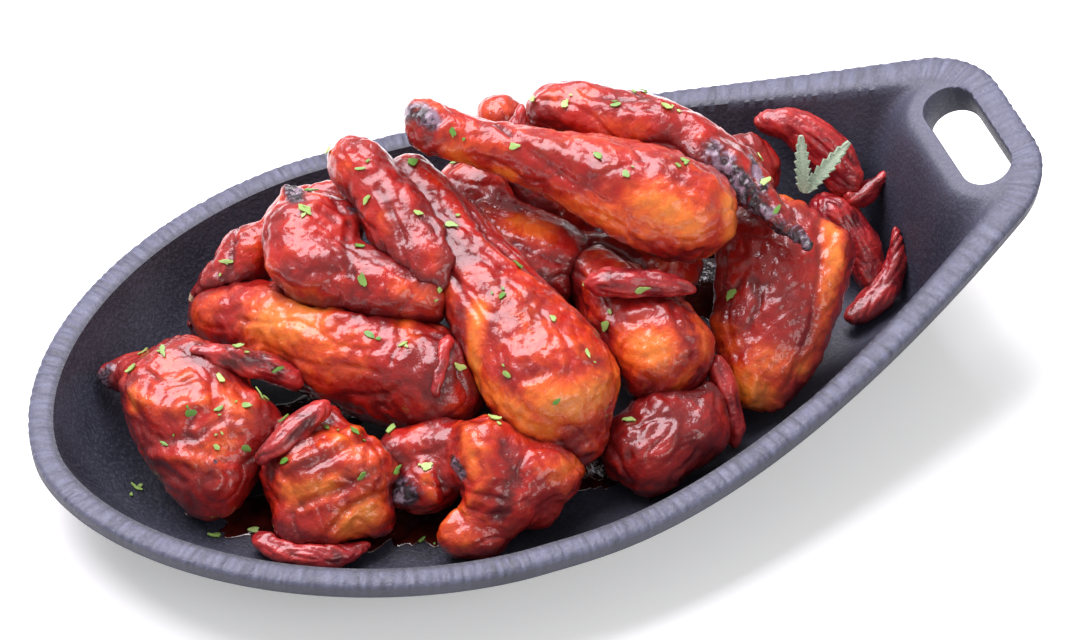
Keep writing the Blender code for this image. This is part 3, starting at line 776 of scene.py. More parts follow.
@dataclass(frozen=True)
class SheenPaint:
    """Where the iron is painted paler as a sheen of the overhead light: streaks over the rim's
    band, the boss, and the handle's end.

    Attributes:
        level: how strong the painted sheen is on the band on average.
        broad: strength of the broad streaks.
        broad_pace: how fast they change from one point of the outline to the next and across
            the band, and a shift.
        narrow: strength of the narrow streaks.
        narrow_pace: the same for those.
        margin: how far short of the band's inner edge the painted sheen stops.
        fade: how far it takes to fade out there.
        boss: how strong the painted sheen is on the boss.
        boss_reach: how far round the slot that goes.
        handle: how strong the painted sheen is at the handle's end.
        handle_from: the x where that begins.
        handle_run: how far it takes to reach its full.
    """

    level: float = 0.62
    broad: float = 0.6
    broad_pace: tuple[float, float, float] = (0.35, 0.12, 5.0)
    narrow: float = 0.35
    narrow_pace: tuple[float, float, float] = (1.3, 0.3, 8.0)
    margin: float = 0.3
    fade: float = 1.8
    boss: float = 0.5
    boss_reach: float = 12.0
    handle: float = 0.3
    handle_from: float = 70.0
    handle_run: float = 45.0

    def at(self, step: int, inset: float, band: float, from_slot: float, x: float) -> float:
        """How strong the painted sheen is at a place.

        Args:
            step: number of the outline's nearest point.
            inset: distance in from the outline.
            band: width of the rim's band there.
            from_slot: distance from the slot's edge.
            x: the place's x.

        Returns:
            The painted sheen, 0 for none.
        """
        streak = self.level
        for size, (along, across, seed) in ((self.broad, self.broad_pace),
                                            (self.narrow, self.narrow_pace)):
            streak += size * noise.noise((step * along, inset * across, seed))
        on_band = float(ease((band - self.margin - inset) / self.fade)) * streak
        on_boss = self.boss * float(ease(1.0 - from_slot / self.boss_reach))
        at_handle = self.handle * float(ease((x - self.handle_from) / self.handle_run))
        return max(on_band, on_boss, at_handle)


class Join(Enum):
    """What a Boolean does with its tool."""

    ADD = "UNION"
    CUT = "DIFFERENCE"


@dataclass(frozen=True)
class SlotTool:
    """A prism of the slot's outline, which is added to the handle or cut from it.

    Attributes:
        name: what it makes.
        join: whether it is added or cut.
        grow: how much larger than the slot its lower end is, all round.
        top_grow: the same at its upper end.
        height: the prism's height.
        lift: how far its middle stands above the handle's surface.
    """

    name: str
    join: Join
    grow: float
    top_grow: float
    height: float
    lift: float


@dataclass
class ServingDish:
    """Teardrop dish: fluted rim, sloping wall, flat floor, and a boss with the handle's slot.

    Attributes:
        length: over all, handle included.
        half_width: half of the width at the widest place.
        blunt_reach: from the blunt end to the widest place.
        blunt_power: roundness of the blunt end, 2 for an ellipse.
        handle_half_width: half of the handle end's width between its corners.
        handle_corner: radius of those corners.
        flank_slope: how fast the sides draw in towards the handle.
        flank_pull: reach of the sides' curve at its widest place and at the corner.
        rim_height: height of the rim round the blunt end.
        rim_lift: how fast it rises towards the handle, by the square of the way.
        rim_level: how far past the widest place it stays level.
        rim_crown: how far the band swells in its middle.
        edge_drop: how far the rim's edge rounds off, by row from the outermost.
        edge_tuck: how far its underside is drawn in and up.
        flute_tuck: how far a flute draws the edge in, as a share of its dip.
        floor_top: height of the floor's upper side.
        wall: thickness of the casting.
        band: width of the rim's band.
        band_handle: its width at the handle.
        band_from: the x where the band begins to widen.
        band_run: how far it takes to widen.
        wall_run: how far the wall slopes in.
        wall_power: how fast it falls at first.
        boss_flat: width of the level ring round the slot.
        boss_run: how far the boss slopes down from there.
        boss_shape: shares of a hollow foot and of a rounded shoulder in that slope.
        slot_x: the slot's middle.
        slot_width: the slot's width, along X.
        slot_length: its length, along Y.
        slot_tools: the prisms that shape the slot, in order.
        flutes: the hammered flutes.
        sheen_paint: where the iron is painted paler as a sheen of the overhead light.
        around: grid rows round the rim.
        band_shares: grid columns over the band, as shares of its width.
        wall_columns: grid columns from the band to the middle line.
        wall_crowding: above 1 they crowd towards the rim.
        samples: points along a row from which its underside is worked out.
        middle_from: the x where the middle line starts.
        middle_run: how long it is.
        outline: dense points round the rim's edge.
        widest: x of the widest place.
    """

    length: float = 312.0
    half_width: float = 93.3
    blunt_reach: float = 120.6
    blunt_power: float = 1.82
    handle_half_width: float = 29.4
    handle_corner: float = 27.4
    flank_slope: float = 0.524
    flank_pull: tuple[float, float] = (25.0, 131.0)
    rim_height: float = 30.0
    rim_lift: float = 0.00095
    rim_level: float = 10.0
    rim_crown: float = 0.5
    edge_drop: tuple[float, ...] = (1.1, 0.45, 0.12)
    edge_tuck: float = 0.5
    flute_tuck: float = 0.5
    floor_top: float = 4.6
    wall: float = 4.6
    band: float = 7.5
    band_handle: float = 11.0
    band_from: float = 60.0
    band_run: float = 90.0
    wall_run: float = 31.0
    wall_power: float = 2.2
    boss_flat: float = 3.8
    boss_run: float = 12.0
    boss_shape: tuple[float, float] = (0.55, 0.45)
    slot_x: float = 140.0
    slot_width: float = 15.6
    slot_length: float = 42.0
    slot_tools: tuple[SlotTool, ...] = (
        SlotTool("collar", Join.ADD, 3.2, 3.2, 10.0, -6.0),
        SlotTool("slot", Join.CUT, 0.0, 0.0, 60.0, 0.0),
        SlotTool("slot_lip", Join.CUT, -0.35, 1.5, 2.2, 0.4),
        SlotTool("slot_brim", Join.CUT, -1.6, 2.1, 1.6, 0.55),
    )
    flutes: Flutes = Flutes()
    sheen_paint: SheenPaint = SheenPaint()
    around: int = 960
    band_shares: tuple[float, ...] = (0.0, 0.05, 0.14, 0.3, 0.5, 0.7, 0.88, 1.0)
    wall_columns: int = 22
    wall_crowding: float = 1.25
    samples: int = 160
    middle_from: float = -94.0
    middle_run: float = 220.0
    outline: np.ndarray = field(init=False)
    widest: float = field(init=False)

    def __post_init__(self) -> None:
        """Draw the outline once, in the frame's own place."""
        self.widest = self.blunt_reach - self.length / 2.0
        half = self.half_outline()
        self.outline = np.concatenate((half, half[-2:0:-1] * (1.0, -1.0)))

    def half_outline(self, count: int = 400) -> np.ndarray:
        """Dense points along the +Y half of the outline, from the blunt end to the handle's.

        Args:
            count: points on the blunt end and on the flank each.

        Returns:
            Rows of x and y.
        """
        turn = math.pi / 2.0 * np.arange(count) / count
        blunt = np.stack([-self.blunt_reach * np.cos(turn) ** (2.0 / self.blunt_power),
                          self.half_width * np.sin(turn) ** (2.0 / self.blunt_power)], axis=1)
        end_x = self.length - self.blunt_reach
        along = np.array((1.0, -self.flank_slope)) / math.hypot(1.0, self.flank_slope)
        turned = math.pi / 2.0 - math.atan2(-along[1], along[0])
        start = (np.array((end_x, self.handle_half_width))
                 - along * self.handle_corner * math.tan(turned / 2.0))
        a = np.array((0.0, self.half_width))
        b = a + (self.flank_pull[0], 0.0)
        c = start - along * self.flank_pull[1]
        t = (np.arange(count) / count)[:, None]
        flank = (a * (1 - t) ** 3 + 3 * b * t * (1 - t) ** 2 + 3 * c * t * t * (1 - t)
                 + start * t ** 3)
        centre = start + np.array((along[1], -along[0])) * self.handle_corner
        first = math.atan2(start[1] - centre[1], start[0] - centre[0])
        corner = first * (1.0 - np.linspace(0.0, 1.0, count // 4, endpoint=False))
        arc = centre + self.handle_corner * np.stack([np.cos(corner), np.sin(corner)], axis=1)
        return np.concatenate((blunt, flank, arc, [(end_x, 0.0)])) + (self.widest, 0.0)

    def rim_at(self, x: float) -> float:
        """Height of the rim at x."""
        past = max(0.0, x - self.widest - self.rim_level)
        return self.rim_height + self.rim_lift * past ** 2

    def band_at(self, x: float) -> float:
        """Width of the rim's band at x."""
        share = min(1.0, max(0.0, (x - self.band_from) / self.band_run))
        return self.band + (self.band_handle - self.band) * share

    def height(self, x: float, y: float, inset: float) -> float:
        """Height of the smooth upper surface at a place that lies inset from the outline.

        Args:
            x: the place's x.
            y: its y.
            inset: its distance from the outline.

        Returns:
            The height in millimetres.
        """
        rim = self.rim_at(x)
        band = self.band_at(x)
        if inset <= band:
            return rim + self.rim_crown * math.sin(math.pi * inset / band)
        wall = min(1.0, (inset - band) / self.wall_run)
        depth = 1.0 - (1.0 - wall) ** self.wall_power
        fall = min(1.0, max(0.0, self.from_slot(x, y) - self.boss_flat) / self.boss_run)
        boss = self.boss_shape[0] * fall * fall + self.boss_shape[1] * float(ease(fall))
        return rim - (rim - self.floor_top) * depth * boss

    def from_slot(self, x: float, y: float) -> float:
        """Distance from the slot's edge, and nothing inside it or towards the handle's end."""
        beside = max(0.0, abs(y) - (self.slot_length - self.slot_width) / 2.0)
        return math.hypot(min(0.0, x - self.slot_x), beside) - self.slot_width / 2.0

    def paint_sheen(self, thing: bpy.types.Object) -> None:
        """Paint the iron paler where it faces up, as a painted sheen of the overhead light.

        Args:
            thing: the dish.
        """
        places = places_of(thing.data)
        # Only what faces up gets the painted sheen.
        upward = np.clip(normals_of(thing.data)[:, 2] * 2.0, 0.0, 1.0)
        values = np.empty(len(places))
        for k, (x, y, _) in enumerate(places):
            far = np.hypot(*(self.outline - (x, y)).T)
            nearest = int(np.argmin(far))
            values[k] = self.sheen_paint.at(nearest, far[nearest], self.band_at(x),
                                     self.from_slot(x, y), x)
        paint(thing.data, Layer.PAINTED_SHEEN, np.clip(values, 0.0, 1.0) * upward)

    def rim_points(self) -> tuple[np.ndarray, np.ndarray]:
        """Evenly spaced points round the outline, and the way round to each.

        Returns:
            Rows of x and y, and the ways.
        """
        ring = np.concatenate((self.outline, self.outline[:1]))
        steps = np.hypot(*np.diff(ring, axis=0).T)
        way = np.concatenate(([0.0], np.cumsum(steps)))
        wanted = np.linspace(0.0, way[-1], self.around, endpoint=False)
        points = np.stack([np.interp(wanted, way, ring[:, i]) for i in (0, 1)], axis=1)
        return points, wanted

    def underside(self, run: np.ndarray, heights: list[float]) -> np.ndarray:
        """Heights of the underside, a wall's thickness below the upper surface all along.

        Args:
            run: distance of each place of a row from the rim's edge.
            heights: height of the upper surface at each.

        Returns:
            One height for each place.
        """
        fine = np.linspace(0.0, run[-1], self.samples)
        fine_heights = np.interp(fine, run, heights)
        reach = self.wall ** 2 - (run[:, None] - fine[None, :]) ** 2
        dropped = fine_heights[None, :] - np.sqrt(np.maximum(reach, 0.0))
        return np.min(np.where(reach > 0.0, dropped, np.inf), axis=1)

    def row(self, edge: np.ndarray, inward: np.ndarray, way: float, total: float) -> np.ndarray:
        """One row of the shell's grid.

        Args:
            edge: the place on the outline.
            inward: direction square to the outline there, into the dish.
            way: the way round the rim to it.
            total: the rim's whole length.

        Returns:
            Places from the middle line up the wall, over the rim and back below.
        """
        x = edge[0]
        band = self.band_at(x)
        insets = [share * band for share in self.band_shares]
        foot_x = self.middle_from + self.middle_run * (x + self.length / 2.0) / self.length
        foot = np.array((foot_x, 0.0))
        wall_start = edge + inward * band
        places = [edge + inward * inset for inset in insets]
        places += [wall_start + (foot - wall_start) * (k / self.wall_columns) ** self.wall_crowding
                   for k in range(1, self.wall_columns + 1)]
        heights = [self.height(*place, inset) for place, inset in zip(places, insets)]
        for place in places[len(insets):]:
            inset = float(np.min(np.hypot(*(self.outline - place).T)))
            heights.append(self.height(*place, inset))
        run = np.hypot(*(np.array(places) - places[0]).T)
        under = self.underside(run, heights)
        across = len(places)
        spots = np.empty((2 * across, 3))
        for i, place in enumerate(places):
            fluted = i < len(insets) - 1
            dip = self.flutes.dip(way, total, run[i], band) if fluted else 0.0
            drop = self.edge_drop[i] if i < len(self.edge_drop) else 0.0
            spots[across - 1 - i] = (*place, heights[i] - dip - drop)
            spots[across + i] = (*place, max(0.0, under[i]))
            if i == 0:
                spots[across - 1, :2] = place + inward * self.flute_tuck * dip
                spots[across, :2] = place + inward * self.edge_tuck
                spots[across, 2] = max(0.0, under[i] + self.edge_tuck)
        return spots

    def build_shell(self) -> bmesh.types.BMesh:
        """The whole casting but for its slot: one grid that wraps over the rim.

        Each row of the grid runs from the middle line of the floor up the wall, over the rim's
        edge, and back along the underside to the middle line, where it meets the row opposite.

        Returns:
            A closed bmesh in millimetres.
        """
        points, ways = self.rim_points()
        total = ways[-1] + ways[1]
        rows = []
        for j, point in enumerate(points):
            along = Vector(points[(j + 1) % self.around] - points[j - 1]).normalized()
            rows.append(self.row(point, np.array((along.y, -along.x)), ways[j], total))
        shell = bmesh.new()
        columns = len(rows[0])
        bmesh.ops.create_grid(shell, x_segments=columns - 1, y_segments=self.around, size=1.0)
        for vert in shell.verts:
            i = round((vert.co.x + 1.0) / 2.0 * (columns - 1))
            j = round((vert.co.y + 1.0) / 2.0 * self.around)
            vert.co = rows[j % self.around][i]
        bmesh.ops.remove_doubles(shell, verts=shell.verts, dist=0.01)
        bmesh.ops.recalc_face_normals(shell, faces=shell.faces)
        return shell

    def prism(self, tool: SlotTool) -> bpy.types.Object:
        """A prism of the slot's outline, tilted with the handle.

        Args:
            tool: its size and place.

        Returns:
            The prism, hidden, for a Boolean.
        """
        shell = bmesh.new()
        radius = self.slot_width / 2.0
        bmesh.ops.create_cone(shell, cap_ends=True, segments=64, radius1=radius + tool.grow,
                              radius2=radius + tool.top_grow, depth=tool.height)
        stretch = (self.slot_length - self.slot_width) / 2.0
        for vert in shell.verts:
            vert.co.y += math.copysign(stretch, vert.co.y)
        past = self.slot_x - self.widest - self.rim_level
        slope = math.atan(2.0 * self.rim_lift * past)
        bmesh.ops.translate(shell, vec=(0.0, 0.0, tool.lift), verts=shell.verts)
        bmesh.ops.rotate(shell, matrix=Matrix.Rotation(-slope, 3, "Y"), verts=shell.verts)
        bmesh.ops.translate(shell, vec=(self.slot_x, 0.0, self.rim_at(self.slot_x)),
                            verts=shell.verts)
        made = object_of(tool.name, mesh_from(shell, tool.name))
        made.hide_render = True
        return made

    def build(self, look: bpy.types.Material) -> bpy.types.Object:
        """Build the whole dish in place of its solid.

        Args:
            look: the iron's material.

        Returns:
            The dish.
        """
        dish = object_of("dish_body", mesh_from(self.build_shell(), "dish_body"))
        for tool in self.slot_tools:
            prism = self.prism(tool)
            step = dish.modifiers.new(tool.name, "BOOLEAN")
            step.object = prism
            step.operation = tool.join.value
            bake(dish)
            mesh = prism.data
            bpy.data.objects.remove(prism)
            bpy.data.meshes.remove(mesh)
        self.paint_sheen(dish)
        smooth(dish, sharp=42.0)
        settle(dish, look, "seasoned_cast_iron", "dish")
        return dish


# Food

class Touch(Enum):
    """What a mark does to the skin below it. The first four are layers of paint."""

    GOLD = "gold"
    MAROON = "maroon"
    CHAR = "char"
    PALE = "pale"
    CREASE = "crease"
    RIDGE = "ridge"


@dataclass(frozen=True)
class Mark:
    """A mark drawn on a piece as it is seen in the photograph.

    Attributes:
        name: what it shows, and where on the piece.
        touch: what it does.
        path: one or more pixels of the photograph, which the mark runs along.
        reach: where it is down to half on each side, in millimetres.
        amount: its strength, or its depth or height in millimetres.
        step: longest way from one dropped pixel to the next, in pixels.
        tries: how often the nearest place is looked for where the path misses the piece.
    """

    name: str
    touch: Touch
    path: tuple[tuple[float, float], ...]
    reach: float
    amount: float
    step: float = 5.0
    tries: int = 4

    def places(self, tree: BVHTree) -> np.ndarray:
        """Where the mark lies on a piece: its path, dropped on the piece along the view.

        Args:
            tree: a search tree over the piece.

        Returns:
            Rows of x, y, z in millimetres.
        """
        pixels = [self.path[0]]
        for (ax, ay), (bx, by) in zip(self.path, self.path[1:]):
            steps = max(1, round(math.hypot(bx - ax, by - ay) / self.step))
            pixels += [(ax + (bx - ax) * k / steps, ay + (by - ay) * k / steps)
                       for k in range(1, steps + 1)]
        eye = VIEW.eye()
        found = []
        for px, py in pixels:
            ray = VIEW.ray(px, py)
            hit = tree.ray_cast(eye, ray)[0]
            if hit is None:
                hit = eye + ray * VIEW.distance
                for _ in range(self.tries):
                    hit = tree.find_nearest(hit)[0]
                    hit = eye + ray * (hit - eye).dot(ray)
                hit = tree.find_nearest(hit)[0]
            found.append(np.array(hit) / MM)
        return np.array(found)

    def weight(self, places: np.ndarray, spots: np.ndarray) -> np.ndarray:
        """How strongly each place feels the mark, from 0 to 1.

        Args:
            places: rows of x, y, z.
            spots: where the mark lies.

        Returns:
            One weight for each row.
        """
        near = np.linalg.norm(places - spots[0], axis=1)
        for a, b in zip(spots, spots[1:]):
            near = np.minimum(near, distance_to(places, a, b))
        return ease(1.0 - near / (2.0 * self.reach))


def gold(name: str, reach: float, amount: float, *path: tuple[float, float]) -> Mark:
    """Thin glaze with golden skin showing through."""
    return Mark(name, Touch.GOLD, path, reach, amount)


def maroon(name: str, reach: float, amount: float, *path: tuple[float, float]) -> Mark:
    """Thick dark glaze."""
    return Mark(name, Touch.MAROON, path, reach, amount)


def char(name: str, reach: float, amount: float, *path: tuple[float, float]) -> Mark:
    """A burnt place."""
    return Mark(name, Touch.CHAR, path, reach, amount)


def pale(name: str, reach: float, amount: float, *path: tuple[float, float]) -> Mark:
    """Bare cartilage."""
    return Mark(name, Touch.PALE, path, reach, amount)


def crease(name: str, reach: float, depth: float, *path: tuple[float, float]) -> Mark:
    """A fold that runs in."""
    return Mark(name, Touch.CREASE, path, reach, depth)


def ridge(name: str, reach: float, height: float, *path: tuple[float, float]) -> Mark:
    """A fold that stands up."""
    return Mark(name, Touch.RIDGE, path, reach, height)


@dataclass(frozen=True)
class Relief:
    """One layer of lumps in a surface.

    Attributes:
        size: width of a lump in millimetres.
        height: how far it stands up or sinks in, in millimetres.
        seed: added to the piece's own seed.
    """

    size: float
    height: float
    seed: int

    def over(self, places: np.ndarray, seed: int) -> np.ndarray:
        """Its height at each place of a piece with a seed."""
        return self.height * grain(places, self.size, seed + self.seed)


@dataclass(frozen=True)
class Skin:
    """How roasted skin lies: what every piece of chicken has, whatever its marks.

    Attributes:
        broad: the flesh's broad lumps.
        middle: smaller lumps on them.
        stretch: how many times longer than wide the lengthwise folds are.
        fold: the folds, which run where this noise crosses zero.
        fold_width: how near to zero that is.
        fine_fold: the finer folds between them, made the same way.
        fine_fold_width: how near to zero those are.
        fine_fold_share: their depth, as a share of the folds'.
        fold_edge: above 1 the folds are narrow and sharp.
        rough: small lumps all over.
        crumple: puckers, which stand up on both sides of where this noise crosses zero.
        crumpled: where the skin is puckered.
        crumpled_more: above 0 more of the skin is puckered.
        bumpy: where the feather follicles stand out.
        bumpy_more: above 0 they stand out on more of the skin.
        follicle: spacing of the follicles, in millimetres.
        follicle_height: how far they stand up.
        blister: blisters on a burnt place, as a share of its strength.
        crease_share: share of a drawn crease's depth that is left under the glaze.
    """

    broad: Relief = Relief(15.0, 1.0, 0)
    middle: Relief = Relief(7.0, 0.5, 9)
    stretch: float = 2.2
    fold: Relief = Relief(9.0, 1.0, 21)
    fold_width: float = 0.16
    fine_fold: Relief = Relief(4.2, 1.0, 33)
    fine_fold_width: float = 0.2
    fine_fold_share: float = 0.4
    fold_edge: float = 1.5
    rough: Relief = Relief(3.0, 0.38, 41)
    crumple: Relief = Relief(5.2, 0.75, 71)
    crumpled: Relief = Relief(14.0, 2.0, 81)
    crumpled_more: float = 0.5
    bumpy: Relief = Relief(16.0, 2.0, 51)
    bumpy_more: float = 0.3
    follicle: float = 2.9
    follicle_height: float = 0.32
    blister: Relief = Relief(1.6, 0.7, 61)
    crease_share: float = 0.6

    def valleys(self, line: np.ndarray, width: float) -> np.ndarray:
        """Sharp valleys from 0 to 1 where a noise crosses zero."""
        return np.clip(1.0 - np.abs(line) / width, 0.0, 1.0) ** self.fold_edge

    def height(self, places: np.ndarray, long: np.ndarray, seed: int, lumps: float,
               folds: float) -> np.ndarray:
        """How far the skin stands up at each place, in millimetres.

        Args:
            places: the piece's vertices.
            long: the same, drawn together along the piece.
            seed: the piece's seed.
            lumps: height of its broad lumps.
            folds: depth of its lengthwise folds.

        Returns:
            One height for each place.
        """
        swell = lumps * (self.broad.over(places, seed) + self.middle.over(places, seed))
        deep = folds * self.valleys(self.fold.over(long, seed), self.fold_width)
        deep += (self.fine_fold_share * folds
                 * self.valleys(self.fine_fold.over(long, seed), self.fine_fold_width))
        puckered = ease(self.crumpled.over(places, seed) + self.crumpled_more)
        rough = self.rough.over(places, seed)
        rough += np.abs(self.crumple.over(places, seed)) * puckered
        shown = ease(self.bumpy.over(places, seed) + self.bumpy_more)
        follicles = cells(places, self.follicle, seed) * shown * self.follicle_height
        return swell - deep + rough + follicles


@dataclass(frozen=True)
class Glazing:
    """How glaze collects on a piece: thin on what stands up, thick in hollows and below; the same
    layers carry a painted highlight on what stands up and painted shade in hollows, between pieces
    and below them.

    Attributes:
        level: gold and maroon on smooth skin of an even tone.
        by_tone: how much a piece's tone shifts them.
        gold_by_height: more gold for each millimetre that the skin stands up, partly a painted
            highlight.
        maroon_by_height: less maroon for the same, so more in hollows, partly painted shade.
        search: how far off a neighbour is looked for, in millimetres.
        crevice_reach: how near a neighbour has to be for the maroon to gather, in millimetres.
        crevice_shade: how much maroon is added where they touch: painted shade between the pieces,
            and glaze that pools there.
        hang_from: the upward lean below which a side turns more maroon.
        underside_shade: how much more maroon a side that faces down gets: painted shade below the
            pieces, and glaze that runs down.
        giving_way: how far one of gold and maroon gives way to a mark of the other.
        crease_shade: how much maroon goes into a drawn crease: painted shade in it, and glaze that
            collects there.
    """

    level: float = 0.16
    by_tone: float = 0.3
    gold_by_height: float = 0.3
    maroon_by_height: float = 0.6
    search: float = 6.0
    crevice_reach: float = 5.5
    crevice_shade: float = 1.1
    hang_from: float = 0.35
    underside_shade: float = 0.8
    giving_way: float = 0.9
    crease_shade: float = 0.2

    def tones(self, mesh: bpy.types.Mesh, places: np.ndarray, height: np.ndarray, tone: float,
              others: BVHTree) -> dict[Touch, np.ndarray]:
        """The four layers of paint before any mark, with their painted highlight and shade.

        Args:
            mesh: the piece's mesh.
            places: its vertices before the skin was raised.
            height: how far the skin stands up at each.
            tone: how golden the whole piece is.
            others: a search tree over what may touch it.

        Returns:
            A value for each place and layer.
        """
        reach = self.search * MM
        close = np.fromiter(((others.find_nearest(Vector(place * MM), reach)[3] or reach) / MM
                             for place in places), float, len(places))
        # Maroon where another piece comes near: painted shade between the pieces, and glaze that
        # pools there.
        crevice_shade = np.clip(1.0 - close / self.crevice_reach, 0.0, 1.0) * self.crevice_shade
        # Maroon on sides that face down: painted shade below the pieces, and glaze that runs down.
        lean = np.clip(self.hang_from - normals_of(mesh)[:, 2], 0.0, 1.0)
        # Gold on what stands up and maroon in hollows: partly a painted highlight and painted
        # shade.
        thin = self.level + self.by_tone * tone + self.gold_by_height * height
        thick = self.level - self.by_tone * tone - self.maroon_by_height * height
        return {
            Touch.GOLD: np.clip(thin, 0.0, 1.0),
            Touch.MAROON: np.clip(thick, 0.0, 1.0) + crevice_shade + lean * self.underside_shade,
            Touch.CHAR: np.zeros(len(places)),
            Touch.PALE: np.zeros(len(places)),
        }


@dataclass
class GrownPiece:
    """A piece of food that is grown from its solid.

    Attributes:
        node: the solid that it stands for.
        seed: shifts its noise.
    """

    node: str
    seed: int

    def grow(self, voxel: float) -> bpy.types.Object:
        """Round and remesh the solid, in cubes of a size in millimetres.

        Args:
            voxel: the cubes' size.

        Returns:
            The new object.
        """
        shell = bmesh.new()
        shell.from_mesh(frame["nodes"][self.node].data)
        bmesh.ops.remove_doubles(shell, verts=shell.verts, dist=0.02 * MM)
        mesh = bpy.data.meshes.new(self.node + "_skin")
        shell.to_mesh(mesh)
        shell.free()
        made = object_of(self.node + "_skin", mesh)
        rounder = made.modifiers.new("round", "SUBSURF")
        rounder.levels = rounder.render_levels = 1
        fuse = made.modifiers.new("fuse", "REMESH")
        fuse.mode = "VOXEL"
        fuse.voxel_size = voxel * 1.0 * MM
        even = made.modifiers.new("even", "SMOOTH")
        even.factor = 0.6
        even.iterations = round(EVEN_REACH / voxel)
        bake(made)
        return made

    def aligned(self, places: np.ndarray, stretch: float) -> np.ndarray:
        """Places turned to the piece's own length, and drawn together along it.

        Args:
            places: rows of x, y, z.
            stretch: how many times they are drawn together.

        Returns:
            The turned rows.
        """
        middle = places - places.mean(axis=0)
        axes = np.linalg.svd(middle[::7], full_matrices=False)[2]
        turned = middle @ axes.T
        turned[:, 0] /= stretch
        return turned


@dataclass
class RoastedPiece(GrownPiece):
    """A glazed piece of chicken.

    Attributes:
        slot: the record's material slot.
        tone: how golden the whole piece is, from -1, maroon, to 1.
        marks: what the photograph shows on it.
        lumps: height of the broad lumps in millimetres.
        folds: depth of the lengthwise folds in millimetres.
        voxel: size of the remeshing's cubes in millimetres.
        swell: how far the skin stands out from the solid in millimetres.
        skin: how the skin lies.
        glazing: how the glaze collects.
    """

    slot: str
    tone: float
    marks: tuple[Mark, ...] = ()
    lumps: float = 1.0
    folds: float = 0.5
    voxel: float = 0.75
    swell: float = 0.55
    skin: Skin = Skin()
    glazing: Glazing = Glazing()

    def build(self, look: bpy.types.Material, others: BVHTree) -> bpy.types.Object:
        """Grow, fold and paint the piece.

        Args:
            look: the skin's material.
            others: a search tree over the dish and the other solids.

        Returns:
            The finished piece.
        """
        made = self.grow(self.voxel)
        mesh = made.data
        places = places_of(mesh)
        tree = tree_of([made])
        weights = {mark: mark.weight(places, mark.places(tree)) for mark in self.marks}
        long = self.aligned(places, self.skin.stretch)
        height = self.skin.height(places, long, self.seed, self.lumps, self.folds)
        for mark, weight in weights.items():
            if mark.touch is Touch.CREASE:
                height -= weight * mark.amount * self.skin.crease_share
            if mark.touch is Touch.RIDGE:
                height += weight * mark.amount
            if mark.touch is Touch.CHAR:
                height += weight * mark.amount * self.skin.blister.over(places, self.seed)
        put_places(mesh, places + normals_of(mesh) * (self.swell + height)[:, None])
        self.colour(mesh, places, weights, height, others)
        smooth(made)
        settle(made, look, self.slot, self.node)
        return made

    def colour(self, mesh: bpy.types.Mesh, places: np.ndarray, weights: dict[Mark, np.ndarray],
               height: np.ndarray, others: BVHTree) -> None:
        """Paint where the glaze is thin, thick or burnt, along with painted highlight and shade.

        Args:
            mesh: the piece's mesh.
            places: its vertices before the skin was raised.
            weights: how strongly each place feels each mark.
            height: how far the skin stands up at each place.
            others: a search tree over what may touch it.
        """
        tones = self.glazing.tones(mesh, places, height, self.tone, others)
        for mark, weight in weights.items():
            felt = weight * mark.amount
            left = 1.0 - self.glazing.giving_way * felt
            if mark.touch in tones:
                tones[mark.touch] = np.maximum(tones[mark.touch], felt)
            if mark.touch is Touch.GOLD:
                tones[Touch.MAROON] = tones[Touch.MAROON] * left
            if mark.touch is Touch.MAROON:
                tones[Touch.GOLD] = tones[Touch.GOLD] * left
            # A drawn crease also turns maroon: painted shade in the crease, and glaze that collects
            # there.
            if mark.touch is Touch.CREASE:
                tones[Touch.MAROON] += self.glazing.crease_shade * weight
        for touch, values in tones.items():
            paint(mesh, Layer(touch.value), values)


